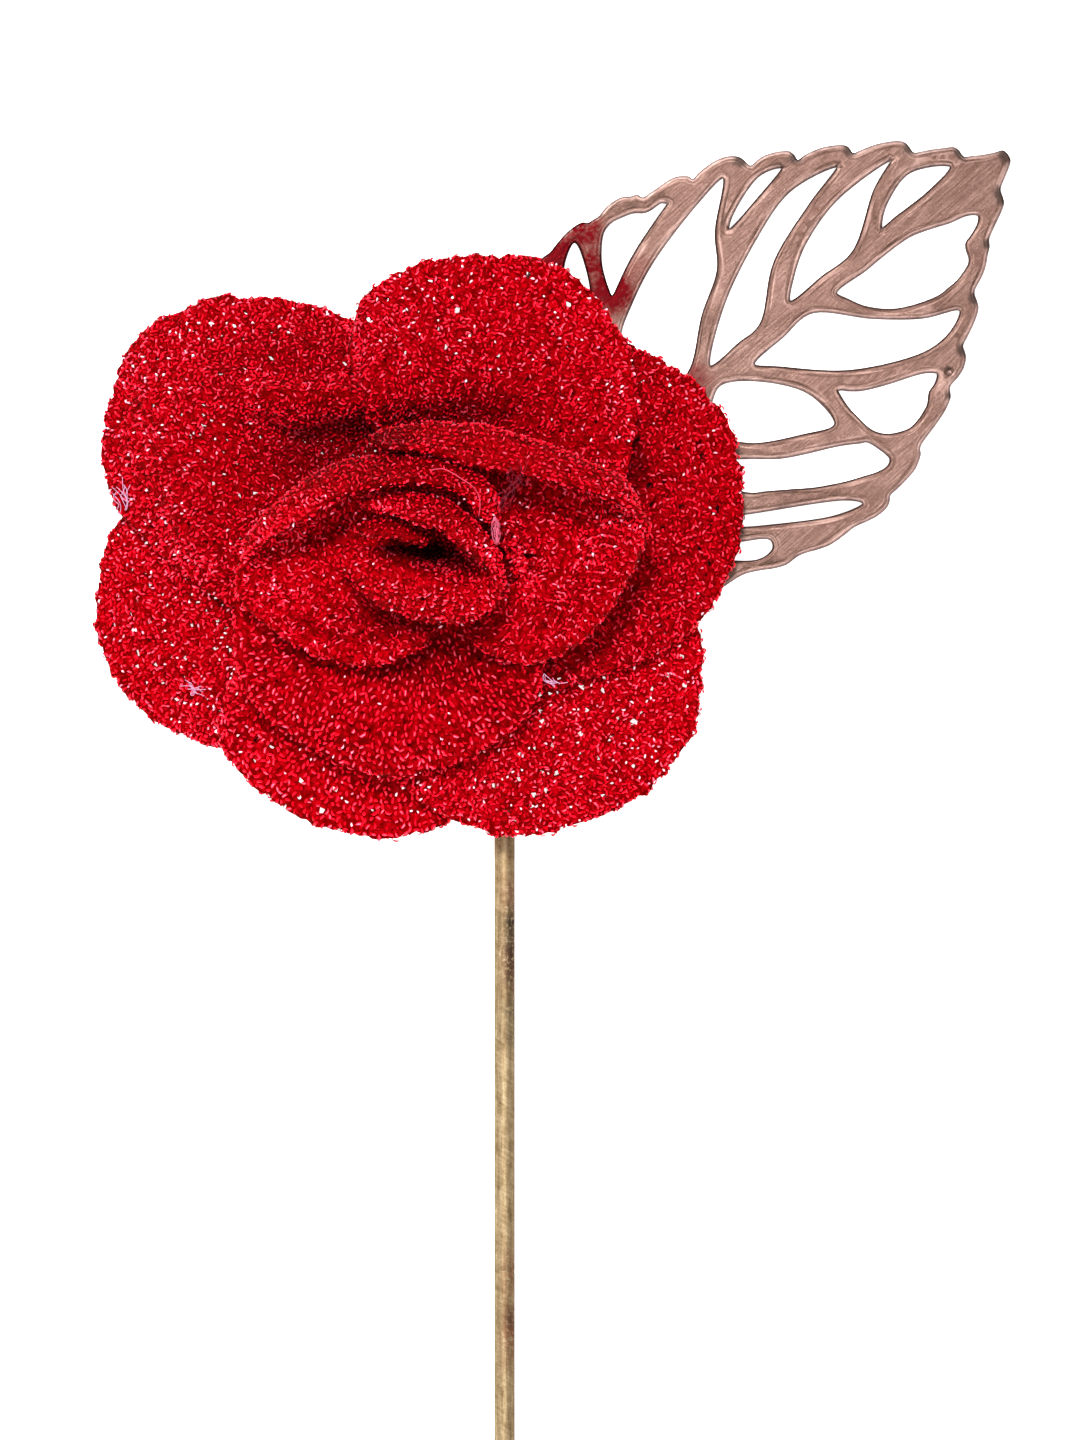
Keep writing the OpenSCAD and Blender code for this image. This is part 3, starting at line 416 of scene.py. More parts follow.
# Black stains and brown rust on the pin's right side. Columns: distance from its end, spread, strength
PIN_STAINS = [
    [24.3, 0.9, 1.0], [26.0, 1.2, 0.8], [27.6, 0.8, 0.7], [29.6, 0.7, 0.7], [31.3, 0.6, 0.5], [48.6, 0.5, 0.6],
]
PIN_RUST = [[22.5, 1.4, 0.7], [26.6, 1.6, 0.9], [46.0, 1.6, 0.7], [49.5, 1.8, 0.9]]
# The pad's two faces, and its rounded edge. Columns: radius, distance from the face
PAD_LOW, PAD_HIGH = 1.0, 2.0
PAD_EDGE = [(2.0, 0.0), (4.0, 0.0), (4.78, 0.0), (4.92, 0.05), (PAD_R, 0.18)]
PAD_POINTS = 160
# The solder between pin and pad: its upper end, its length, half its width at its lowest line and how much wider
# it is along the pad, and how far it hangs below the pad and reaches into it
SOLDER_END_Y = PIN_END_Y + 0.35
SOLDER_LENGTH = 6.1
SOLDER_HALF, SOLDER_FOOT = 0.70, 0.75
SOLDER_DEPTH, SOLDER_SUNK = 0.42, 0.12
SOLDER_POINTS = 24
SOLDER_RINGS = 28

# Lint caught on the rose and loose threads in its centre, in plan from its middle, with heights over the leaf
# (0: on the cloth itself).
# Each strand: the petal it sticks to, how many fibres, their half width, how pale they are, and points of x, y,
# height, spread
LINT = [
    ["left_cup", 7, 0.011, 0.06, [
        [6.2, 4.1, 11.2, 0.5], [6.0, 3.5, 11.2, 0.55], [5.6, 2.7, 11.2, 0.4], [5.1, 1.8, 11.0, 0.14]]],
    ["middle_petal", 40, 0.11, 0.12, [
        [-2.4, -1.4, 0.9, 0.8], [0.4, -2.3, 1.6, 0.8], [2.5, 0.0, 2.4, 0.8], [0.4, 2.3, 1.4, 0.8],
        [-2.3, 0.6, 2.2, 0.8], [-0.6, -1.6, 2.8, 0.8], [1.5, 0.4, 1.8, 0.8]]],
    ["left_cup", 14, 0.016, 0.66, [
        [4.75, 1.5, 11.0, 0.05], [4.8, 1.1, 10.8, 0.17], [4.9, 0.5, 10.5, 0.19], [4.95, 0.0, 10.3, 0.08]]],
    ["left_cup", 1, 0.026, 0.45, [
        [0.85, 4.4, 12.3, 0.03], [1.76, 4.36, 12.3, 0.03], [2.8, 3.9, 12.1, 0.03], [3.55, 3.3, 11.8, 0.03],
        [3.95, 2.5, 11.3, 0.04], [3.9, 1.6, 10.7, 0.04]]],
    ["middle_petal", 7, 0.022, 1.0, [[7.8, -8.2, 0, 0.25], [8.15, -8.45, 0, 0.18], [8.5, -8.6, 0, 0.25]]],
    ["outer_petal_left_low", 8, 0.022, 1.0, [[-14.0, -8.6, 0, 0.3], [-13.7, -8.8, 0, 0.2], [-13.3, -8.9, 0, 0.3]]],
    ["outer_petal_left_top", 8, 0.022, 1.0, [[-18.3, 3.7, 0, 0.3], [-18.2, 2.9, 0, 0.25], [-18.0, 2.1, 0, 0.3]]],
]

# Where a petal's cloth tucks in under its neighbour: points of x, y, height over the leaf along the fold,
# how far to each side the grains there lie, and their number
FOLDS = {"right_cup": [[4.9, 0.9, 5.6], [5.6, 0.1, 5.4], [6.2, -0.7, 5.1], [6.6, -1.7, 4.9], [7.0, -2.8, 4.8]]}
FOLD_SPREAD = [0.55, 0.55, 0.16]
FOLD_GRAINS = 260

# Scallops along the edges: the length and the depth of one, and the range of their depths
SCALLOP_LEN = 0.95
SCALLOP_DEPTH = 0.36
SCALLOP_RANGE = (0.5, 1.2)
# Open cells between the yarns: the range of their size as a share of a mesh cell, and how far off grains keep
HOLE_SHARES = (0.5, 0.85)
HOLE_CLEAR = 0.12

# A grain is a small bent stitch of yarn: a tip, two rings of three points, and a tip. Its back is painted lighter
# and its flanks darker: a painted highlight along its ridge and painted shade on its sides.
GRAIN_POINTS = 8
RING_PLACES = (-0.42, 0.42)
GRAIN_LIGHT_AND_SHADE = np.array([-0.15, -0.28, -0.28, 0.13, -0.28, -0.28, 0.13, -0.15])
GRAIN_TRIANGLES = np.array([[0, 1, 3], [0, 3, 2], [0, 2, 1], [7, 6, 4], [7, 5, 6], [7, 4, 5]])
GRAIN_QUADS = np.array([[3, 1, 4, 6], [2, 3, 6, 5], [1, 2, 5, 4]])
# How deep its ends lie in the cloth, and how its bend, length and width vary
GRAIN_SINK = 0.05
BENDS, LENGTHS, WIDTHS = (-0.35, 0.35), (0.65, 1.25), (0.8, 1.2)
# Chances of a glint on the wide petals and on the others, and of a bright grain along edges and in folds
OUTER_GLINTS, INNER_GLINTS = 0.06, 0.035
EDGE_BRIGHT, FOLD_BRIGHT = 0.6, 0.45
# Ranges of tint and height of bright grains, dull grains and glints, and the sizes of glints
BRIGHT_TINTS, BRIGHT_HEIGHTS = (0.62, 1.0), (0.14, 0.21)
DULL_TINTS, DULL_HEIGHTS = (0.0, 0.45), (0.06, 0.11)
OUTER_GLINT_TINTS, INNER_GLINT_TINTS, GLINT_HEIGHTS = (0.0, 1.1), (0.0, 0.5), (0.2, 0.24)
GLINT_LENGTHS, GLINT_WIDTHS = (0.16, 0.32), (0.10, 0.13)

# Colours from dull to bright: (place, colour) stops
# The pink top stop is a painted highlight, reached mostly on the lighter backs of bright grains
YARN_STOPS = [
    (0.0, (0.18, 0.0, 0.001)), (0.40, (0.50, 0.0, 0.005)), (0.62, (0.86, 0.002, 0.012)),
    (0.86, (0.98, 0.010, 0.036)), (1.0, (1.0, 0.15, 0.25)),
]
# Colours of the glints, which are painted highlights
GLINT_STOPS = [(0.2, (1.0, 0.20, 0.32)), (0.8, (1.0, 0.70, 0.78))]
LINT_STOPS = [(0.1, (0.16, 0.006, 0.02)), (0.5, (0.75, 0.06, 0.12)), (0.9, (0.55, 0.28, 0.44))]
COPPER_STOPS = [
    (0.36, (0.03, 0.015, 0.01)), (0.44, (0.066, 0.033, 0.024)), (0.52, (0.103, 0.055, 0.043)),
    (0.64, (0.202, 0.125, 0.104)),
]
BRASS_STOPS = [
    (0.38, (0.11, 0.068, 0.032)), (0.45, (0.22, 0.147, 0.075)), (0.53, (0.33, 0.24, 0.13)),
    (0.61, (0.46, 0.355, 0.215)), (0.69, (0.78, 0.66, 0.48)),
]

# The stage: the sky from the horizon up, and lights that face the rose. Columns: name, place in metres, power in
# watts, width in metres
SKY_STOPS = [(0.30, (0.36, 0.36, 0.36)), (0.75, (0.11, 0.11, 0.11))]
LIGHTS = [
    ("key", (-0.05, 0.22, 0.51), 4.1, 0.10), ("fill", (-0.16, -0.30, 0.48), 0.9, 0.16),
    ("front", (0.02, 0.02, 0.80), 6.6, 1.0),
]
FLOOR_HALF, FLOOR_Z = 2000.0, -0.02
# The camera looks straight down. The photo takes in 89 mm of the plane that the brooch lies on.
CAMERA_DISTANCE = 650.0
PHOTO_HEIGHT = 89.0
CAMERA_X = ROSE_MIDDLE[0] + 7.54
CAMERA_Y = ROSE_MIDDLE[1] - 10.75


def smooth_mix(a, b, c, d, t):
    """A point between b and c, at t from 0 to 1, on a smooth curve through all four"""
    return b + 0.5 * t * ((c - a) + t * ((2 * a - 5 * b + 4 * c - d) + t * (3 * b - a - 3 * c + d)))


def with_ends(rows):
    """rows and one more before and after them, so that a smooth curve reaches the first and the last"""
    return np.concatenate([2 * rows[:1] - rows[1:2], rows, 2 * rows[-1:] - rows[-2:-1]])


def along(rows, u):
    """Values on a smooth curve through the rows, where u counts them from 0"""
    rows = with_ends(np.asarray(rows, float))
    i = np.clip(np.floor(u).astype(int), 0, len(rows) - 4)
    return smooth_mix(rows[i], rows[i + 1], rows[i + 2], rows[i + 3], (u - i)[..., None])


def along_profile(knots, v):
    """knots: an array of 4 knots with their radius and height last, for each place in v"""
    knots = with_ends(knots)
    i = np.clip(np.floor(v).astype(int), 0, len(knots) - 4)
    a, b, c, d = (np.take_along_axis(knots, (i + k)[None, ..., None], 0)[0] for k in range(4))
    return smooth_mix(a, b, c, d, (v - i)[..., None])


def middle_surface(petal, u, v, closed_from, closed_over):
    """Points of a petal's middle surface: u counts its rows, v runs from 0 at the foot to RIM_V at the rim.
    From closed_from downwards its two side edges come together."""
    head, rows = petal
    shut = np.clip((closed_from - v) / closed_over, 0, 1)
    gathered = np.clip(1 + np.minimum(v, 0) / GATHER, 0.01, 1)
    v = np.maximum(v, 0)
    row = along(rows, u)
    middle = (rows[0][0] + rows[-1][0]) / 2
    closing = 1 + (360 / (rows[-1][0] - rows[0][0]) - 1) * shut
    foot = np.stack([np.full(u.shape, float(head[2])), row[..., 1]], -1)
    knots = np.stack([foot, row[..., 2:4], row[..., 4:6], row[..., 6:8]])
    radius, height = np.moveaxis(along_profile(knots, v), -1, 0)
    angle = np.radians(middle + (row[..., 0] - middle) * closing)
    radius = radius * gathered
    height = height - GATHER_SINK * (1 - gathered)
    return np.stack([head[0] + radius * np.cos(angle), head[1] + radius * np.sin(angle), LEAF_TOP + height], -1)


def unit(vectors):
    return vectors / np.linalg.norm(vectors, axis=-1, keepdims=True)


def waves(points, length, seed, count=10):
    """Smooth noise between about -1 and 1: waves of about that length in many directions"""
    draw = np.random.default_rng(seed)
    ways = unit(draw.normal(size=(count, 3)))
    turns = 2 * np.pi / (length * draw.uniform(0.7, 1.5, count))
    starts = draw.uniform(0, 2 * np.pi, count)
    return np.sin(points @ (ways.T * turns) + starts).sum(-1) / np.sqrt(count)


def crease_rise(name, points):
    """How far the creases of a petal lift its points"""
    rise = np.zeros(points.shape[:-1])
    for x0, y0, x1, y1, height, width in CREASES.get(name, []):
        start, way = np.array([x0, y0]), np.array([x1 - x0, y1 - y0])
        share = (points[..., :2] - start) @ way / (way @ way)
        away = points[..., :2] - start - np.clip(share, 0, 1)[..., None] * way
        gap = np.linalg.norm(away, axis=-1) / width
        rise += height * np.exp(-gap ** (RIDGE_POWER if height > 0 else VALLEY_POWER))
    return rise


class Cloth:
    """One petal's cloth as a surface with its crumples"""

    def __init__(self, name):
        self.name = name
        self.petal = PETALS[name]
        self.look = ClothLook(*CLOTH_LOOKS[name])
        self.seed = 10 * list(PETALS).index(name)
        self.last_u = len(self.petal[1]) - 1
        self.first_v = -GATHER * 0.98 if "cup" in name else 0.0
        self.closed = CLOSED.get(name, (0.0, GATHER))
        self.random = np.random.default_rng(self.seed)
        self.holes = []
        v = np.linspace(0, RIM_V, 60)
        middle = self.points(np.full(len(v), self.last_u / 2), v)
        self.length_up = np.linalg.norm(np.diff(middle, axis=0), axis=1).sum()

    def tone(self, v, points, normals):
        """Painted light and shade over the dye, from 0 (black) to about 1: each petal's own amount, painted shade
        towards the heart cup's foot, in hollows and on the backs of the hoods, and lighter towards the wide petals'
        rims"""
        tone = np.full(np.shape(v), self.look.tone)
        # Painted shade towards the heart cup's foot
        if self.name == "heart_cup":
            tone = tone * (FOOT_TONE + (1 - FOOT_TONE) * np.clip(v / FOOT_TONE_TO, 0, 1) ** 1.3)
        # Painted shade: the wide petals are darker near the rose's middle and lighter outwards
        if "outer" in self.name:
            out = np.linalg.norm(points[..., :2], axis=-1)
            rise = np.clip((out - OUTER_TONE_FROM) / OUTER_TONE_OVER, 0, 1)
            tone = tone * (OUTER_TONE + OUTER_TONE_RISE * rise)
        # Painted shade on the backs of the hoods
        if "cup" in self.name:
            tone = tone * (1 - HOOD_BACK_SHADES[self.name] * np.clip(normals[..., 1] - 0.15, 0, 0.7))
        # Painted shade in the hollows
        for x, y, wide, high, amount in SHADED_HOLLOWS.get(self.name, []):
            gap = ((points[..., 0] - x) / wide) ** 2 + ((points[..., 1] - y) / high) ** 2
            tone = tone * (1 - amount * np.exp(-gap ** 2))
        return tone

    def points(self, u, v):
        """Points of the crumpled middle surface"""
        step = 0.05
        flat, right, left, higher, lower = (
            middle_surface(self.petal, u + across, v + up, *self.closed)
            for across, up in ((0, 0), (step, 0), (-step, 0), (0, step), (0, -step)))
        height, length = self.look.crumple, self.look.crumple_length
        rise = height * waves(flat, length, self.seed) + 0.3 * height * waves(flat, 0.35 * length, self.seed + 1)
        rise = rise * np.clip(v / 1.5, 0, 1) - crease_rise(self.name, flat) * np.clip(v * 2, 0, 1)
        return flat + unit(np.cross(right - left, higher - lower)) * rise[..., None]

    def frame_at(self, u, v):
        """(points, normals, ways across, ways up) at u, v"""
        step = 0.02
        across = self.points(u + step, v) - self.points(u - step, v)
        up = self.points(u, v + step) - self.points(u, v - step)
        normals = unit(np.cross(across, up))
        return self.points(u, v), normals, unit(across), unit(np.cross(normals, across))

    def lengths_across(self, v, count=240):
        """(places u, length of the cloth's line at v up to each of them)"""
        u = np.linspace(0, self.last_u, count)
        line = self.points(u, np.full(count, float(v)))
        steps = np.linalg.norm(np.diff(line, axis=0), axis=1)
        return u, np.concatenate([[0], np.cumsum(steps)])


def scallops(lengths, seed):
    """How far an edge stands out at each length along it: rounded bumps of uneven size"""
    draw = np.random.default_rng(seed)
    whole = max(lengths[-1], 1.0)
    count = max(2, int(whole / SCALLOP_LEN))
    ends = np.linspace(0, whole, count + 1)
    ends[1:-1] += draw.uniform(-JITTER, JITTER, count - 1) * SCALLOP_LEN
    depths = SCALLOP_DEPTH * draw.uniform(*SCALLOP_RANGE, count)
    shifts = draw.uniform(-0.12, 0.12, count)
    i = np.clip(np.searchsorted(ends, lengths, side="right") - 1, 0, count - 1)
    t = (lengths - ends[i]) / (ends[i + 1] - ends[i])
    return depths[i] * (np.sqrt(np.clip(4 * t * (1 - t), 0, 1)) - 0.6) + shifts[i]


def make_object(name, points, faces, materials, face_materials=None, values=None):
    """A smooth-shaded mesh object from points in mm and faces given as arrays of triangles and quads"""
    mesh = bpy.data.meshes.new(name)
    corners = np.concatenate([f.ravel() for f in faces]).astype(np.int32)
    sizes = np.concatenate([np.full(len(f), f.shape[1]) for f in faces])
    mesh.vertices.add(len(points))
    mesh.vertices.foreach_set("co", (points * MM).astype(np.float32).ravel())
    mesh.loops.add(len(corners))
    mesh.loops.foreach_set("vertex_index", corners)
    mesh.polygons.add(len(sizes))
    starts = np.concatenate([[0], np.cumsum(sizes)[:-1]]).astype(np.int32)
    mesh.polygons.foreach_set("loop_start", starts)
    mesh.polygons.foreach_set("use_smooth", np.ones(len(sizes), bool))
    for material in materials:
        mesh.materials.append(material)
    if face_materials is not None:
        mesh.polygons.foreach_set("material_index", face_materials.astype(np.int32))
    mesh.update(calc_edges=True)
    for key, value in (values or {}).items():
        mesh.attributes.new(key, "FLOAT", "POINT").data.foreach_set("value", value.astype(np.float32))
    made = bpy.data.objects.new(name, mesh)
    bpy.context.scene.collection.objects.link(made)
    return made


def edge_walls(faces, count):
    """Quads that close the gap along free edges between the faces and their copies, count points further on"""
    corners = faces.shape[1]
    sides = np.concatenate([faces[:, [k, (k + 1) % corners]] for k in range(corners)])
    free = sides[~np.isin(sides @ [2 * count, 1], sides @ [1, 2 * count])]
    return np.stack([free[:, 1], free[:, 0], free[:, 0] + count, free[:, 1] + count], -1)


class Shading:
    """The nodes of a material or a world, with short ways to make them and to link them"""

    def __init__(self, owner):
        owner.use_nodes = True
        self.owner = owner
        self.nodes, self.links = owner.node_tree.nodes, owner.node_tree.links

    def join(self, value, socket):
        """Link another socket to this one, or set it to a number, a vector or a colour"""
        if isinstance(value, bpy.types.NodeSocket):
            self.links.new(value, socket)
        else:
            socket.default_value = (*value, 1) if socket.type == "RGBA" else value

    def node(self, kind, **settings):
        """A node, its inputs and properties of these names set or linked"""
        node = self.nodes.new("ShaderNode" + kind)
        for key, value in settings.items():
            if key in node.inputs:
                self.join(value, node.inputs[key])
            else:
                setattr(node, key, value)
        return node

    def shade(self, **inputs):
        """Set or link inputs of the Principled shader, with _ for the spaces in their names"""
        for key, value in inputs.items():
            self.join(value, self.nodes["Principled BSDF"].inputs[key.replace("_", " ")])

    def place(self):
        return self.node("TexCoord").outputs["Object"]

    def attribute(self, name):
        return self.node("Attribute", attribute_name=name).outputs["Fac"]

    def noise(self, at, scale, detail=3.0, roughness=0.5):
        return self.node("TexNoise", Vector=at, Scale=scale, Detail=detail, Roughness=roughness).outputs["Fac"]

    def stretched(self, at, scale, turn=0.0):
        """Coordinates turned about Z first, and then scaled"""
        turned = self.node("Mapping", Vector=at, Rotation=(0, 0, turn))
        return self.node("Mapping", Vector=turned.outputs[0], Scale=scale).outputs[0]

    def calc(self, operation, *values, clamp=False):
        """The output of a Math node on sockets or numbers"""
        node = self.node("Math", operation=operation, use_clamp=clamp)
        for value, socket in zip(values, node.inputs):
            self.join(value, socket)
        return node.outputs[0]

    def beyond(self, value, start, steep):
        """How far a value is beyond the start, times steep, between 0 and 1"""
        return self.calc("MULTIPLY", self.calc("SUBTRACT", value, start), steep, clamp=True)

    def ramp(self, factor, stops):
        """The colour at the factor along (place, colour) stops"""
        node = self.node("ValToRGB", Fac=factor)
        elements = node.color_ramp.elements
        while len(elements) < len(stops):
            elements.new(0.5)
        for element, (place, colour) in zip(elements, stops):
            element.position = place
            element.color = (*colour, 1)
        return node.outputs["Color"]

    def scaled(self, colour, amount):
        """A colour times a number"""
        return self.node("VectorMath", operation="SCALE", Vector=colour, Scale=amount).outputs[0]

    def blend(self, factor, first, second):
        """The colour between two"""
        node = self.node("Mix", data_type="RGBA")
        for index, value in ((0, factor), (6, first), (7, second)):
            self.join(value, node.inputs[index])
        return node.outputs[2]

    def bumps(self, height, strength, distance, invert=False):
        """Shade the surface by a height, up to a distance in mm"""
        bump = self.node("Bump", Height=height, Strength=strength, Distance=distance * MM, invert=invert)
        self.shade(Normal=bump.outputs["Normal"])


def yarn_material(name, stops, roughness, gloss, shine, glow=0.0):
    """Dyed yarn: each grain has its own tint, over slow changes of the dye, times the painted light and shade that the
    cloth carries, which is darkest in the hollows
    """
    look = Shading(bpy.data.materials.new(name))
    place = look.place()
    slow = look.calc("MULTIPLY_ADD", look.noise(place, 0.35 / MM), 0.25, -0.045)
    total = look.calc("MULTIPLY_ADD", look.attribute("tint"), 0.85, slow, clamp=True)
    colour = look.scaled(look.ramp(total, stops), look.attribute("tone"))
    look.bumps(look.noise(place, 16.0 / MM, detail=2.0), 0.5, 0.03)
    look.shade(Base_Color=colour, Emission_Color=colour, Emission_Strength=glow, Roughness=roughness,
               Specular_IOR_Level=gloss, Specular_Tint=shine)
    return look.owner


def base_cloth_material():
    """The deep red between the grains, its dye made darker as painted shade in the gaps: darker crossings of yarn with
    a fine net of bumps, times the painted light and shade that the cloth carries
    """
    look = Shading(bpy.data.materials.new("rose_base_cloth"))
    place = look.place()
    net = look.node("TexVoronoi", Vector=place, Scale=2.6 / MM).outputs["Distance"]
    colour = look.ramp(look.calc("MULTIPLY", net, look.noise(place, 5.0 / MM)),
                       [(0.05, (0.34, 0.0, 0.003)), (0.35, (0.10, 0.0, 0.0))])
    look.bumps(net, 0.8, 0.08, invert=True)
    look.shade(Base_Color=look.scaled(colour, look.attribute("tone")), Roughness=0.8, Specular_IOR_Level=0.05,
               Specular_Tint=(1.0, 0.1, 0.12))
    return look.owner


def cloth_shell(cloth, material):
    """The cloth itself: two skins with open cells between the yarns, closed by walls at every edge"""
    draw = cloth.random
    columns = int(cloth.lengths_across(2.7)[1][-1] / CELL)
    rows = int(cloth.length_up / CELL)
    levels = np.linspace(0, RIM_V, rows + 1)
    if cloth.first_v < 0:
        levels = np.concatenate([np.linspace(cloth.first_v, 0, GATHER_ROWS + 1)[:-1], levels])
        rows += GATHER_ROWS
    u, v = np.meshgrid(np.linspace(0, cloth.last_u, columns + 1), levels, indexing="ij")
    inside = np.zeros(u.shape, bool)
    inside[1:-1, 1:-1] = True
    u = u + inside * draw.uniform(-JITTER, JITTER, u.shape) * cloth.last_u / columns
    v = v + inside * (v > 0.2) * draw.uniform(-JITTER, JITTER, v.shape) * RIM_V / rows
    u, v = with_scallops(cloth, u, v)
    points, normals, _, _ = cloth.frame_at(u, v)
    solid = np.ones((columns, rows), bool)
    for i, j in zip(*np.nonzero(draw.random((columns, rows)) < cloth.look.open_share)):
        near = solid[max(i - 1, 0):i + 2, max(j - 1, 0):j + 2]
        if near.all() and 1 < i < columns - 2 and rows * 0.2 < j < rows - 2:
            solid[i, j] = False
            corners = points[i:i + 2, j:j + 2]
            middle = corners.mean((0, 1))
            points[i:i + 2, j:j + 2] = middle + draw.uniform(*HOLE_SHARES) * (corners - middle)
            cloth.holes.append(middle)
    index = np.arange(u.size).reshape(u.shape)
    quads = np.stack([index[:-1, :-1], index[1:, :-1], index[1:, 1:], index[:-1, 1:]], -1)[solid]
    skins = np.concatenate([(points + side * CLOTH_HALF * normals).reshape(-1, 3) for side in (1, -1)])
    faces = np.concatenate([quads, quads[:, ::-1] + u.size, edge_walls(quads, u.size)])
    used, faces = np.unique(faces, return_inverse=True)
    # Painted light and shade of the cloth at the skins' points
    tone = np.tile(cloth.tone(v, points, normals * np.sign(normals[..., 2:])).ravel(), 2)[used]
    if cloth.look.pattern == "drops":
        tone = tone * DROPS_GROUND
    return make_object(cloth.name + "_cloth", skins[used] + ROSE_MIDDLE, [faces.reshape(-1, 4)], [material],
                       values={"tone": tone})


def with_scallops(cloth, u, v):
    """u and v moved out near the rim and the two side edges, so that these edges are scalloped"""
    places, lengths = cloth.lengths_across(2.98)
    up_speed = cloth.length_up / RIM_V
    out = np.interp(u, places, scallops(lengths, cloth.seed + 3)) / up_speed
    rim_share = np.clip((v - 2.75) / 0.25, 0, 1)
    heights = np.linspace(0, RIM_V, 60)
    side_speed = np.interp(u, places, np.gradient(lengths, places))
    first, last = (np.interp(v, heights, scallops(heights * up_speed, cloth.seed + k)) for k in (4, 5))
    edge = 0.8 / np.maximum(side_speed, 0.3)
    first_share, last_share = (np.clip(1 - gap / edge, 0, 1) * np.clip(v - 0.5, 0, 1) for gap in (u, cloth.last_u - u))
    moved_u = u - first_share * first / side_speed + last_share * last / side_speed
    return moved_u, v + rim_share * out


def spread(cloth, pitch, row_pitch, set_off):
    """(u, v, True at each second place) of a lattice over the cloth, its rows set off by a part of a pitch in turn.
    Where the rows come closer together, fewer places are kept."""
    draw = cloth.random
    levels = np.linspace(cloth.first_v * 0.85, RIM_V, 50)
    u, v = np.meshgrid(np.linspace(0, cloth.last_u, 9), levels, indexing="ij")
    ups = np.linalg.norm(np.diff(cloth.points(u, v), axis=1), axis=2)
    heights = np.concatenate([[0], np.cumsum(ups[ups.sum(1).argmax()])])
    count = int(heights[-1] / row_pitch)
    rows = np.interp((np.arange(count) + 0.5) * heights[-1] / count, heights, levels)
    found = []
    for j, (v, step) in enumerate(zip(rows, np.gradient(rows))):
        places, lengths = cloth.lengths_across(v, 80)
        number = max(2, int(lengths[-1] / pitch))
        at = np.arange(number) + 0.25 + set_off * (j % 2) + draw.uniform(-JITTER, JITTER, number)
        found.append((np.interp(at * lengths[-1] / number, lengths, places),
                      v + draw.uniform(-JITTER, JITTER, number) * step,
                      (np.arange(number) + j) % 2 == 0, np.full(number, step)))
    u, v, odd, step = (np.concatenate(group) for group in zip(*found))
    gap = np.linalg.norm(cloth.points(u, v + step / 2) - cloth.points(u, v - step / 2), axis=1)
    keep = draw.random(len(u)) < 1.1 * gap / row_pitch
    return u[keep], v[keep], odd[keep]


def laid_grains(cloth, side):
    """Grains on one side of the cloth: (base, normal, way, chance of a bright one)"""
    draw = cloth.random
    pattern, pitch, share = cloth.look.pattern, cloth.look.pitch, cloth.look.bright_share
    if side > 0 and "outer" in cloth.name:
        pattern, pitch = "scattered", BACK_PITCH
    drops = pattern == "drops"
    u, v, odd = spread(cloth, pitch, pitch * (1.25 if drops else 1), 0.5 if drops else 0.0)
    base, normal, across, up = cloth.frame_at(*with_scallops(cloth, u, v))
    turn = draw.uniform(0, np.pi, len(u))
    chance = np.where(odd, np.minimum(1.6 * share, 0.95), 0.4 * share)
    if drops:
        upright = np.pi / 2 + np.where(odd, 0.35, -0.35) + draw.normal(0, 0.3, len(u))
        turn = np.where(draw.random(len(u)) < np.clip((v - 1.9) / 1.4, 0.12, 0.7), turn, upright)
        chance = np.full(len(u), share)
    way = across * np.cos(turn)[:, None] + up * np.sin(turn)[:, None]
    return base + side * GRAIN_LEVEL * normal, side * normal, way, chance


def grain_points(base, normal, way, length, width, height, bend):
    """Points of grains that lie on base along way and stand up along normal: GRAIN_POINTS for each grain"""
    side = np.cross(normal, way)
    long, wide, high, bent = (x[:, None] for x in (length, width, height, bend))
    made = np.empty((len(base), GRAIN_POINTS, 3))
    for tip, t in ((0, -1.0), (GRAIN_POINTS - 1, 1.0)):
        made[:, tip] = base + way * t * long / 2 + side * bent * 0.6 - normal * GRAIN_SINK
    for k, t in enumerate(RING_PLACES):
        line = base + way * t * long / 2 + side * bent * (t * t - 0.4) + normal * (0.4 * high - GRAIN_SINK)
        made[:, 1 + 3 * k] = line - side * wide / 2
        made[:, 2 + 3 * k] = line + side * wide / 2
        made[:, 3 + 3 * k] = line + normal * high * 0.6
    return made.reshape(-1, 3)


def edge_grains(cloth):
    """Grains that lie over the rim and the side edges: base, normal, way, chance of a bright one"""
    draw = cloth.random
    parts = []
    for edge in ("rim", "first", "last"):
        if edge == "rim":
            places, lengths = cloth.lengths_across(RIM_V)
        else:
            places = np.linspace(0.6, RIM_V, 50)
            lengths = places * cloth.length_up / RIM_V
            lengths = lengths - lengths[0]
        number = int(lengths[-1] / EDGE_PITCH)
        at = (np.arange(number) + draw.uniform(0.1, 0.9, number)) * lengths[-1] / number
        place = np.interp(at, lengths, places)
        if edge == "rim":
            u, v = place, np.full(number, RIM_V - 0.001)
        else:
            u, v = np.full(number, 0.001 if edge == "first" else cloth.last_u - 0.001), place
        base, normal, across, up = cloth.frame_at(*with_scallops(cloth, u, v))
        out, run = {"rim": (up, across), "first": (-across, up), "last": (across, up)}[edge]
        level, turn, loose = (draw.uniform(-most, most, number)[:, None] for most in (0.75, 0.9, 0.35))
        way = unit(run * np.cos(turn) + normal * np.sin(turn) + out * loose)
        shift = draw.uniform(-0.1, 0.1, number)[:, None]
        parts.append((base + normal * level * CLOTH_HALF + out * shift, out, way, np.full(number, EDGE_BRIGHT)))
    return [np.concatenate(group) for group in zip(*parts)]


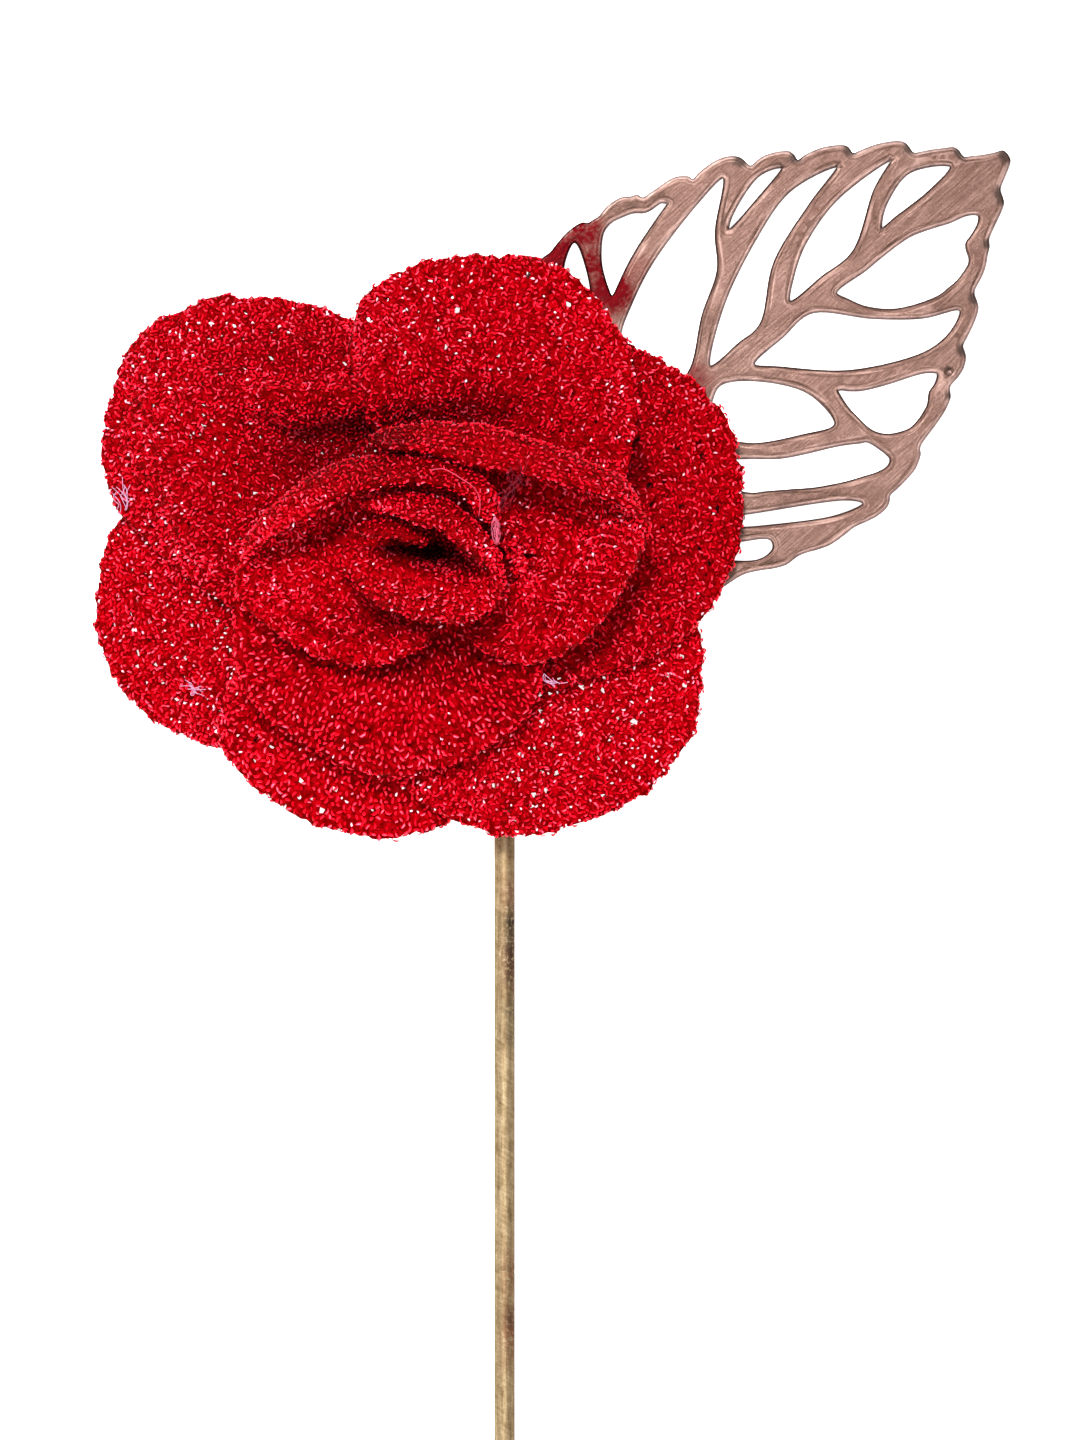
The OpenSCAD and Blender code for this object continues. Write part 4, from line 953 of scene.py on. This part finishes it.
def fold_grains(cloth):
    """Grains on the fold by which this petal's cloth tucks in under its neighbour: as from edge_grains"""
    draw = cloth.random
    line = np.array(FOLDS[cloth.name])
    base = along(line, draw.uniform(0, len(line) - 1, FOLD_GRAINS)) + [0, 0, LEAF_TOP]
    base = base + draw.uniform(-1, 1, (FOLD_GRAINS, 3)) * FOLD_SPREAD
    normal = unit(draw.normal(0, 0.2, (FOLD_GRAINS, 3)) + [0, 0, 1])
    turn = draw.uniform(0, np.pi, FOLD_GRAINS)
    way = unit(np.cross(normal, np.stack([np.cos(turn), np.sin(turn), 0 * turn], -1)))
    return base, normal, way, np.full(FOLD_GRAINS, FOLD_BRIGHT)


def yarn_grains(cloth, materials):
    """The yarn that shows on both sides of the cloth and along its edges, as one object"""
    draw = cloth.random
    parts = [laid_grains(cloth, 1), laid_grains(cloth, -1)]
    face_count = sum(len(part[0]) for part in parts)
    parts.append(edge_grains(cloth))
    if cloth.name in FOLDS:
        parts.append(fold_grains(cloth))
    base, normal, way, chance = (np.concatenate(group) for group in zip(*parts))
    keep = np.ones(len(base), bool)
    for hole in cloth.holes:
        keep &= np.linalg.norm(base - hole, axis=1) > np.hypot(GRAIN_LEVEL, HOLE_CLEAR)
    face_count = keep[:face_count].sum()
    base, normal, way = base[keep], normal[keep], way[keep]
    count = len(base)
    bright = draw.random(count) < chance[keep]
    tint = np.where(bright, draw.uniform(*BRIGHT_TINTS, count), draw.uniform(*DULL_TINTS, count))
    smaller = np.where(bright, 1.0, 0.9)
    length = cloth.look.grain_length * draw.uniform(*LENGTHS, count) * smaller
    width = cloth.look.grain_width * draw.uniform(*WIDTHS, count) * smaller
    width[face_count:] *= 1.2
    height = np.where(bright, draw.uniform(*BRIGHT_HEIGHTS, count), draw.uniform(*DULL_HEIGHTS, count))
    # Painted light and shade for each grain
    tone = cloth.tone(np.full(count, 2.0), base, normal)
    # Painted shade: the heart cup's grains are darker the lower they lie
    if cloth.name == "heart_cup":
        tone = tone * np.clip(0.3 + 0.7 * (base[:, 2] - base[:, 2].min() - 0.6) / 1.8, 0.25, 1)
    outer = "outer" in cloth.name
    glint = draw.random(count) < (OUTER_GLINTS if outer else INNER_GLINTS) * np.clip(6 * tone - 5, 0, 1)
    glint[face_count:] &= draw.random(count - face_count) < 0.6
    for sizes, (low, high) in ((length, GLINT_LENGTHS), (width, GLINT_WIDTHS), (height, GLINT_HEIGHTS),
                               (tint, OUTER_GLINT_TINTS if outer else INNER_GLINT_TINTS)):
        sizes[glint] = draw.uniform(low, high, glint.sum())
    bend = draw.uniform(*BENDS, count) * length
    points = grain_points(base, normal, way, length, width, height, bend)
    starts = (np.arange(count) * GRAIN_POINTS)[:, None, None]
    triangles, quads = ((faces + starts).reshape(-1, faces.shape[1]) for faces in (GRAIN_TRIANGLES, GRAIN_QUADS))
    # Painted highlight on the backs of bright and dull grains and painted shade on their flanks, none on glints
    ridge_highlight = np.where(glint, 0.0, np.where(bright, 1.0, 0.5))
    tint = (tint[:, None] + ridge_highlight[:, None] * GRAIN_LIGHT_AND_SHADE).ravel()
    tone = np.repeat(tone, GRAIN_POINTS)
    fibres, fibre_quads, pale = lint(cloth, base[:face_count][normal[:face_count, 2] > 0])
    face_materials = np.concatenate([np.repeat(glint, len(GRAIN_TRIANGLES)), np.repeat(glint, len(GRAIN_QUADS)),
                                     np.full(len(fibre_quads), 2)])
    quads = np.concatenate([quads, fibre_quads + len(points)])
    return make_object(cloth.name + "_yarn", np.concatenate([points, fibres]) + ROSE_MIDDLE, [triangles, quads],
                       materials, face_materials, {"tint": np.concatenate([tint, pale]),
                                                   "tone": np.concatenate([tone, np.ones(len(pale))])})


def lint(cloth, surface):
    """Fibres of lint on this petal: points and quads of thin four-sided tubes, and how pale each point is"""
    draw = np.random.default_rng(cloth.seed + 7)
    all_points, all_quads, all_pale, first = [np.empty((0, 3))], [np.empty((0, 4), int)], [np.empty(0)], 0
    for petal, number, half, pale, path in LINT:
        if petal != cloth.name:
            continue
        path = np.array(path)
        places = np.linspace(0, len(path) - 1, 6 * len(path))
        smooth = along(path, places)
        for _ in range(number):
            wander = np.stack([waves(np.stack([places * 2, 0 * places, 0 * places], -1), 4.0, seed, 3)
                               for seed in draw.integers(0, 10 ** 6, 3)], -1)
            line = smooth[:, :3] + (wander + draw.normal(0, 0.6, 3)) * smooth[:, 3:] * [1, 1, 0.5]
            line[:, 2] += LEAF_TOP
            if path[0, 2] == 0:
                near = np.linalg.norm(surface[:, None, :2] - line[None, :, :2], axis=2).argmin(0)
                line[:, 2] = surface[near, 2] + 0.2 + 0.12 * draw.random()
            along_it = unit(np.gradient(line, axis=0))
            side = unit(np.cross(along_it, [0, 0, 1.0]))
            rise = np.cross(side, along_it)
            tube = np.stack([line + half * s * d for s, d in ((1, side), (1, rise), (-1, side), (-1, rise))], 1)
            k, j = np.meshgrid(np.arange(len(line) - 1), np.arange(4), indexing="ij")
            a, b = 4 * k + j, 4 * k + (j + 1) % 4
            all_quads.append(np.stack([a, b, b + 4, a + 4], -1).reshape(-1, 4) + first)
            all_quads.append(np.array([[3, 2, 1, 0], [0, 1, 2, 3]]) + [[first], [first + 4 * (len(line) - 1)]])
            all_points.append(tube.reshape(-1, 3))
            all_pale.append(np.full(4 * len(line), pale))
            first += 4 * len(line)
    return np.concatenate(all_points), np.concatenate(all_quads), np.concatenate(all_pale)


def make_rose():
    yarn = yarn_material("rose_yarn", YARN_STOPS, 0.3, 0.3, (1.0, 0.08, 0.16))
    # Glints are painted highlights: pale grains with a glow of their own
    glint = yarn_material("rose_yarn_glint", GLINT_STOPS, 0.2, 0.8, (1.0, 0.6, 0.7), glow=0.5)
    fluff = yarn_material("lint_fibre", LINT_STOPS, 0.6, 0.3, (1.0, 0.6, 0.7))
    base = base_cloth_material()
    shells, yarns = {}, {}
    for name in PETALS:
        cloth = Cloth(name)
        shells[name] = cloth_shell(cloth, base)
        yarns[name] = yarn_grains(cloth, [yarn, glint, fluff])
        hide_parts(name)
        for piece in (shells[name], yarns[name]):
            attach(piece, "root")
    for name, (width, length, area) in FLAT_SIZES.items():
        on_it = [yarns[name]]
        if name == "heart_cup":
            on_it += [shells["heart_bud"], yarns["heart_bud"]]


def leaf_material():
    """Antique copper: streaks brushed along the veins, painted highlights on the edges that face the light and painted
    shade on the others, stains of red dye
    """
    look = Shading(bpy.data.materials.new("antique_copper"))
    place = look.place()
    edge, lit, dye, shaded_spots = (look.attribute(name) for name in ("edge", "lit", "dye", "shaded_spots"))
    x, y, _ = look.node("SeparateXYZ", Vector=place).outputs
    along_veins = look.node("CombineXYZ", X=look.calc("MULTIPLY", look.calc("MINIMUM", edge, 0.6), 6.5),
                            Y=look.calc("MULTIPLY", x, 0.45 / MM), Z=look.calc("MULTIPLY", y, 0.45 / MM)).outputs[0]
    streaks = look.noise(along_veins, 1.0, detail=2.5, roughness=0.6)
    brushed = look.stretched(place, (0.5 / MM, 10.0 / MM, 0.5 / MM), -LEAF_TURN - 0.1)
    scratches = look.noise(brushed, 1.0, detail=4.0, roughness=0.7)
    grain = look.noise(place, 6.0 / MM, detail=4.0, roughness=0.7)
    clouds = look.noise(place, 0.4 / MM, detail=4.0, roughness=0.6)
    # Each texture has one share on the veins, and another in the wide part near the tip
    wide_part = look.beyond(edge, 0.36, 5.0)
    total = look.calc("MULTIPLY_ADD", clouds, 0.10, 0.463)
    for texture, at_veins, in_wide_part in ((grain, 0.24, 0.22), (scratches, 0.13, 0.46), (streaks, 0.75, 0.06)):
        share = look.calc("MULTIPLY_ADD", wide_part, in_wide_part - at_veins, at_veins)
        total = look.calc("ADD", look.calc("MULTIPLY", look.calc("SUBTRACT", texture, 0.5), share), total)
    light_side, dark_side = (look.calc("MULTIPLY", lit, steep, clamp=True) for steep in (1.3, -1.3))
    upper_rim = look.calc("SUBTRACT", lit, 1.0, clamp=True)
    # Patches where the painted highlights on the edges are stronger
    highlight_patches = look.beyond(look.noise(place, 1.3 / MM, detail=4.0, roughness=0.65), 0.32, 3.2)
    bevel_highlight = look.calc("MULTIPLY", light_side, look.calc("MULTIPLY_ADD", highlight_patches, 0.7, 0.2))
    rim = look.calc("MULTIPLY", upper_rim, look.calc("MULTIPLY", highlight_patches, 0.45))
    shadow = look.calc("MULTIPLY", dark_side, 0.8)
    outline = look.calc("MULTIPLY_ADD", dark_side, 0.6, 0.32)
    colour = look.ramp(total, COPPER_STOPS)
    # Bands next to the edge, painted light and shade: a painted highlight on the bevels that face the light and one
    # along the upper rim, painted shade on the edges that face away, and a thin dark line along every edge that is
    # darker on
    # the shaded side. Columns: how far in they reach, how steeply they fade out, amount, colour
    for out_to, steep, amount, tint in ((0.22, 20.0, bevel_highlight, (0.281, 0.185, 0.166)),
                                        (0.15, 22.0, rim, (0.342, 0.243, 0.218)),
                                        (0.17, 14.0, shadow, (0.034, 0.014, 0.011)),
                                        (0.075, 28.0, outline, (0.037, 0.018, 0.015))):
        colour = look.blend(look.calc("MULTIPLY", amount, look.beyond(edge, out_to, -steep)), colour, tint)
    # Painted shade on the ends of the teeth and on the upper half of the pit
    colour = look.blend(shaded_spots, colour, (0.024, 0.014, 0.011))
    wet = look.noise(place, 4.0 / MM)
    stained = look.calc("MULTIPLY", dye, look.calc("ADD", wet, 0.6), clamp=True)
    look.bumps(look.calc("MULTIPLY_ADD", grain, 0.5, scratches), 0.5, 0.035)
    look.shade(Base_Color=look.blend(stained, colour, (0.038, 0.0011, 0.0019)),
               Metallic=look.calc("MULTIPLY_ADD", stained, 0.5, 0.5),
               Roughness=look.calc("MULTIPLY_ADD", scratches, 0.3, 0.25), Specular_IOR_Level=0.12)
    return look.owner


def pin_material():
    """Aged brass wire: drawn along its length, with brown and black stains and fine cross scratches"""
    look = Shading(bpy.data.materials.new("aged_brass"))
    place = look.place()
    streaks = look.noise(look.stretched(place, (6.0 / MM, 0.45 / MM, 6.0 / MM)), 1.0, detail=5.0, roughness=0.65)
    scratches = look.noise(look.stretched(place, (0.9 / MM, 6.0 / MM, 0.9 / MM), 0.55), 1.0, roughness=0.6)
    clouds = look.noise(place, 1.1 / MM, detail=5.0, roughness=0.7)
    fine = look.noise(place, 7.0 / MM, roughness=0.7)
    total = look.calc("MULTIPLY", scratches, 0.18)
    for texture, share in ((fine, 0.2), (clouds, 0.33), (streaks, 0.32)):
        total = look.calc("MULTIPLY_ADD", texture, share, total)
    colour = look.ramp(total, BRASS_STOPS)
    blotch = look.beyond(look.noise(place, 4.0 / MM, detail=4.0, roughness=0.7), 0.40, 11.0)
    for mark, tint in (("rust", (0.16, 0.055, 0.03)), ("stain", (0.02, 0.015, 0.012))):
        colour = look.blend(look.calc("MULTIPLY", look.attribute(mark), blotch, clamp=True), colour, tint)
    look.bumps(look.calc("MULTIPLY_ADD", scratches, 0.5, streaks), 0.4, 0.03)
    # The shade attribute is painted shade
    look.shade(Base_Color=look.scaled(colour, look.attribute("shade")), Metallic=0.75,
               Roughness=look.calc("MULTIPLY_ADD", clouds, 0.3, 0.5), Specular_Tint=(0.45, 0.33, 0.28))
    return look.owner


def closed_curve(points, steps):
    """A smooth closed curve through the points, with so many steps between two of them"""
    points = np.array(points, float)
    before, after, later = (np.roll(points, -k, axis=0) for k in (-1, 1, 2))
    return np.stack([smooth_mix(before, points, after, later, k / steps) for k in range(steps)], 1).reshape(-1, 2)


def refined(loop, longest):
    """The loop with more points on its long sides and without doubled ones"""
    made = []
    for a, b in zip(loop, np.roll(loop, -1, axis=0)):
        gap = np.linalg.norm(b - a)
        if gap > 1e-4:
            count = int(np.ceil(gap / longest))
            made += [a + (b - a) * k / count for k in range(count)]
    return np.array(made)


def loop_turn(loop):
    """1 for a loop that runs anticlockwise, -1 for a clockwise one"""
    ends = np.roll(loop, -1, axis=0)
    return np.sign((loop[:, 0] * ends[:, 1] - loop[:, 1] * ends[:, 0]).sum())


def loop_normals(loop):
    """The way to the left of the loop at each of its points"""
    way = unit(np.roll(loop, -1, axis=0) - np.roll(loop, 1, axis=0))
    return np.stack([-way[:, 1], way[:, 0]], -1)


def leaf_loops():
    """The leaf's outline, and its holes after it, each as points round it"""
    loops = [closed_curve(LEAF_MARGIN, 3)]
    for hole in LEAF_HOLES:
        loop = closed_curve(hole, 8 if len(hole) < 12 else 3)
        loops.append(loop + HOLE_INSET * loop_turn(loop) * loop_normals(loop))
    return [refined(loop, LEAF_CELL) for loop in loops]


def loop_distance(points, loop):
    """(distance from each point to the loop, True where the point is inside it, the loop's outward way there)"""
    ends = np.roll(loop, -1, axis=0)
    turned = loop_turn(loop)
    nearest = np.full(len(points), 1e9)
    inside = np.zeros(len(points), bool)
    outward = np.zeros((len(points), 2))
    for a, b, side in zip(loop, ends, ends - loop):
        share = np.clip((points - a) @ side / (side @ side), 0, 1)[:, None]
        gap = np.linalg.norm(points - a - share * side, axis=1)
        outward[gap < nearest] = turned * unit(np.array([side[1], -side[0]]))
        nearest = np.minimum(nearest, gap)
        crosses = (a[1] > points[:, 1]) != (b[1] > points[:, 1])
        if a[1] != b[1]:
            inside ^= crosses & (points[:, 0] < a[0] + (points[:, 1] - a[1]) * side[0] / side[1])
    return nearest, inside, outward


def in_leaf(points, loops):
    """(distance to the nearest edge, distance to the outline, True where there is metal, way out over that edge)"""
    outline, inside, outward = loop_distance(points, loops[0])
    nearest = outline
    for hole in loops[1:]:
        gap, in_hole, into_hole = loop_distance(points, hole)
        outward = np.where((gap < nearest)[:, None], -into_hole, outward)
        nearest = np.minimum(nearest, gap)
        inside &= ~in_hole
    return nearest, outline, inside, outward


def leaf_mesh_points(loops):
    """Points inside the leaf for its mesh: rows along its edges, a grid between them, and rings round its pits"""
    rings, insets = [], []
    for loop in loops:
        normals = loop_normals(loop)
        for inset in EDGE_ROWS:
            for side in (-1, 1):
                rings.append(loop + side * inset * normals)
                insets.append(np.full(len(loop), 0.94 * inset))
    draw = np.random.default_rng(5)
    grid = np.stack(np.meshgrid(np.arange(-1, 35, LEAF_CELL), np.arange(-13.5, 13.5, LEAF_CELL)), -1).reshape(-1, 2)
    rings.append(grid + draw.uniform(-0.08, 0.08, grid.shape))
    insets.append(np.full(len(grid), 0.52))
    for x, y, radius, _ in LEAF_PITS:
        middle = (np.array([x, y]) + ROSE_MIDDLE[:2] - LEAF_BASE[:2]) @ LEAF_TO_ROSE.T
        for share, count in PIT_RINGS:
            angle = np.linspace(0, 2 * np.pi, count, endpoint=False)
            rings.append(middle + radius * share * np.stack([np.cos(angle), np.sin(angle)], -1))
            insets.append(np.full(count, 0.04))
    points = np.concatenate(rings)
    nearest, _, inside, _ = in_leaf(points, loops)
    return points[inside & (nearest > np.concatenate(insets))]


def leaf_plan(loops):
    """The leaf's mesh in its own plane: (points, triangles)"""
    sides, first = [], 0
    for loop in loops:
        sides += [(first + k, first + (k + 1) % len(loop)) for k in range(len(loop))]
        first += len(loop)
    flat = np.concatenate([*loops, leaf_mesh_points(loops)])
    made = geometry.delaunay_2d_cdt([tuple(p) for p in flat], sides, [], 0, 1e-5)
    plan, triangles = np.array(made[0]), np.array(made[2])
    triangles = triangles[in_leaf(plan[triangles].mean(1), loops)[2]]
    used, triangles = np.unique(triangles, return_inverse=True)
    return plan[used], triangles.reshape(-1, 3)


def spots(points, table, power):
    """How strong the spots are at each point. Columns of the table: x, y, radius, strength"""
    strength = np.zeros(len(points))
    for x, y, radius, amount in table:
        gap = np.linalg.norm(points - [x, y], axis=1) / radius
        strength = np.maximum(strength, amount * np.exp(-gap ** power))
    return strength


def make_leaf():
    loops = leaf_loops()
    plan, triangles = leaf_plan(loops)
    edge, outline, _, outward = in_leaf(plan, loops)
    placed = plan @ LEAF_TO_ROSE + LEAF_BASE[:2]
    from_rose = placed - ROSE_MIDDLE[:2]
    surface = LEAF_TOP - LEAF_BEND_R + np.sqrt(LEAF_BEND_R ** 2 - plan[:, 0] ** 2)
    rounding = 1 - np.sqrt(1 - np.clip(1 - edge / ROUNDING, 0, 1) ** 2)
    groove = np.clip(1 - np.abs(edge - GROOVE_AT) / GROOVE_HALF, 0, 1)
    drop = FRONT_ROUNDING * rounding + GROOVE_DEPTH * groove
    dye = spots(from_rose, DYE_SPOTS, 4)
    # Painted shade on the ends of the teeth
    shaded_spots = spots(plan, [[*cap, SPOT_SHADE] for cap in TOOTH_CAPS], 6)
    # lit: from -1 on edges that face away from the light to 1 on those that face it, and 2 on the upper rim
    outward = outward @ LEAF_TO_ROSE
    lit = np.where((outline <= edge) & (outward[:, 1] > UPPER_FROM), 2.0, outward @ LIT_WAY)
    for x, y, radius, depth in LEAF_PITS:
        gap = np.linalg.norm(from_rose - [x, y], axis=1) / radius
        drop += depth * np.clip(1 - gap ** 2, 0, 1) - 0.25 * depth * np.exp(-((gap - 1.1) / 0.25) ** 2)
        # Painted shade on the pit's upper half and a painted highlight on its lower half, marked as an upper rim
        shaded_spots = np.maximum(shaded_spots, spots(from_rose, [[x, y + 0.4 * radius, radius / 2.2, SPOT_SHADE]], 4))
        light_half = np.linalg.norm(from_rose - [x, y - 0.4 * radius], axis=1) < 0.5 * radius
        edge, lit = np.where(light_half, 0.05, edge), np.where(light_half, 2.0, lit)
    skins = [np.column_stack([placed, height])
             for height in (surface - drop, surface - LEAF_THICKNESS + BACK_ROUNDING * rounding)]
    both = np.concatenate([triangles, triangles[:, ::-1] + len(plan)])
    values = {"edge": edge, "dye": dye, "lit": lit, "shaded_spots": shaded_spots}
    leaf = make_object("copper_leaf", np.concatenate(skins), [both, edge_walls(triangles, len(plan))],
                       [leaf_material()], values={key: np.tile(value, 2) for key, value in values.items()})
    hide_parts("leaf")
    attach(leaf, "root")


def ring_faces(rings, count, first):
    """Quads between rings of points that follow each other, and a face on each end"""
    k = np.arange(count)
    after = (k + 1) % count
    quads = np.concatenate([np.stack([k, after, after + count, k + count], -1) + first + i * count
                            for i in range(rings - 1)])
    return quads, (k[::-1] + first)[None], (k + first + (rings - 1) * count)[None]


def superellipse(angle, power):
    """Points at these angles round a shape between a circle (power 2) and a square with soft corners"""
    c, s = np.cos(angle), np.sin(angle)
    radius = (np.abs(c) ** power + np.abs(s) ** power) ** (-1 / power)
    return radius * c, radius * s


def marks(table, distances, around):
    """How strong the marks of a table are at each distance along the wire, times a share for each place round it"""
    strength = np.zeros((len(distances), len(around)))
    for start, length, amount in table:
        near = np.exp(-((distances - start) / length) ** 2)[:, None]
        strength = np.maximum(strength, amount * near * around)
    return strength.ravel()


def make_wire():
    """The wire with its squared end and its point: (rings of points, values)"""
    radius = PIN_D / 2
    # distance from the end, share of the radius, power of the superellipse
    places = [(0.0, 0.8, 8), (0.12, 0.97, 8), (0.3, 1.0, 8)]
    places += [(d, 1.0, 8) for d in np.arange(1, PIN_SQUARED - 0.6, 1.0)]
    places += [(PIN_SQUARED - 0.5, 1.0, 7), (PIN_SQUARED - 0.2, 1.0, 4), (PIN_SQUARED, 1.0, 2.6)]
    places += [(d, 1.0, 2) for d in np.arange(PIN_SQUARED + 0.4, PIN_LENGTH - PIN_POINT, 0.6)]
    places += [(PIN_LENGTH - PIN_POINT + PIN_POINT * t, 1 - (1 - PIN_POINT_R / radius) * t, 2)
               for t in np.linspace(0, 1, 14)]
    places += [(PIN_LENGTH - 0.02, 0.11, 2), (PIN_LENGTH, 0.03, 2)]
    places += [(PIN_NICK + along_it, share, 2) for along_it, share in NICK_RINGS]
    places.sort()
    angle = np.linspace(0, 2 * np.pi, WIRE_POINTS, endpoint=False)
    rings = []
    for distance, share, power in places:
        across, up = superellipse(angle, power)
        rings.append(np.stack([PIN_X + radius * share * across, np.full(WIRE_POINTS, PIN_END_Y - distance),
                               radius + radius * share * up], -1))
    distances = np.array([place[0] for place in places])
    right = np.clip(np.cos(angle - 0.7), 0, 1)
    # Painted shade: the wire is darker on its right side and darkest along its two flanks
    sides = np.clip((np.abs(np.cos(angle)) - 0.88) / 0.1, 0, 1)
    shade = 1 - 0.28 * np.clip(2 * np.cos(angle), 0, 1) - 0.5 * sides
    return np.array(rings), {"stain": marks(PIN_STAINS, distances, right ** 1.5),
                             "rust": marks(PIN_RUST, distances, right), "shade": np.tile(shade, len(places))}


def make_pad():
    """Rings of points of the flat pad: two discs joined by straight sides, one behind the rose, one at the pin"""
    half = PAD_POINTS // 2
    arc = np.linspace(-np.pi / 2, np.pi / 2, half)
    way = np.stack([np.cos(arc), np.sin(arc)], -1)
    way = np.concatenate([way, -way])
    middle = np.concatenate([np.tile([PIN_X, 0.0], (half, 1)), np.zeros((half, 2))])
    rings = [(r, PAD_LOW + rise) for r, rise in PAD_EDGE] + [(r, PAD_HIGH - rise) for r, rise in PAD_EDGE[::-1]]
    return np.array([np.column_stack([middle + r * way, np.full(PAD_POINTS, z)]) for r, z in rings])


def make_solder():
    """Rings of points of the solder between the wire and the pad"""
    turn = np.linspace(0, np.pi, SOLDER_POINTS // 2)
    draw = np.random.default_rng(9)
    rings = []
    for d in np.linspace(0, 1, SOLDER_RINGS):
        swell = np.sqrt(np.clip(4 * d * (1 - d), 0.02, 1)) ** 0.5 * draw.uniform(0.9, 1.1)
        side = np.cos(turn)
        wide = (SOLDER_HALF + SOLDER_FOOT * np.abs(side) ** 3) * swell
        y = np.full(len(turn), SOLDER_END_Y - d * SOLDER_LENGTH)
        lower = np.stack([PIN_X + side * wide, y, PAD_LOW - SOLDER_DEPTH * np.sin(turn) ** 0.8 * swell], -1)
        upper = lower[::-1] * [1, 1, 0] + [0, 0, PAD_LOW + SOLDER_SUNK]
        rings.append(np.concatenate([lower, upper]))
    return np.array(rings)


def make_pin():
    """The wire, the pad, and the solder between them, as one object"""
    wire, values = make_wire()
    faces, ends, points = [], [], []
    for rings in (wire, make_pad(), make_solder()):
        quads, *caps = ring_faces(*rings.shape[:2], sum(map(len, points)))
        faces.append(quads)
        ends += caps
        points.append(rings.reshape(-1, 3))
    plain = {"stain": 0.0, "rust": 0.0, "shade": 0.8}
    others = len(points[1]) + len(points[2])
    pin = make_object("brass_pin", np.concatenate(points) + ROSE_MIDDLE, faces + ends, [pin_material()],
                      values={key: np.concatenate([values[key], np.full(others, plain[key])]) for key in plain})
    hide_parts("stick_pin")
    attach(pin, "root")


def make_stage():
    """Pale floor, soft light from above the top of the photo, and the photo's camera"""
    scene = bpy.context.scene
    look = Shading(bpy.data.materials.new("floor"))
    look.shade(Base_Color=(0.9, 0.9, 0.9), Roughness=0.9, Emission_Color=(1, 1, 1), Emission_Strength=0.9)
    corners = np.array([[x * FLOOR_HALF, y * FLOOR_HALF, FLOOR_Z] for x, y in ((-1, -1), (1, -1), (1, 1), (-1, 1))])
    floor = make_object("floor", corners, [np.array([[0, 1, 2, 3]])], [look.owner])
    scene.world = bpy.data.worlds.new("studio")
    sky = Shading(scene.world)
    height = sky.node("SeparateXYZ", Vector=sky.node("TexCoord").outputs["Generated"]).outputs[2]
    background = sky.nodes["Background"].inputs
    sky.join(sky.ramp(height, SKY_STOPS), background["Color"])
    background["Strength"].default_value = 1.0
    for name, place, power, width in LIGHTS:
        light = bpy.data.lights.new(name, "AREA")
        light.energy = power
        light.size = width
        lamp = bpy.data.objects.new(name, light)
        lamp.location = place
        way = np.array(place) - ROSE_MIDDLE * MM
        lamp.rotation_euler = (np.arctan2(np.hypot(way[0], way[1]), way[2]), 0, np.arctan2(way[1], way[0]) + np.pi / 2)
        scene.collection.objects.link(lamp)
    camera_data = bpy.data.cameras.new("camera")
    camera_data.lens = CAMERA_DISTANCE / PHOTO_HEIGHT * camera_data.sensor_width
    camera = bpy.data.objects.new("camera", camera_data)
    camera.location = np.array([CAMERA_X, CAMERA_Y, CAMERA_DISTANCE]) * MM
    scene.collection.objects.link(camera)
    scene.camera = camera
    scene.view_settings.view_transform = "Standard"


make_stage()
make_rose()
make_leaf()
make_pin()
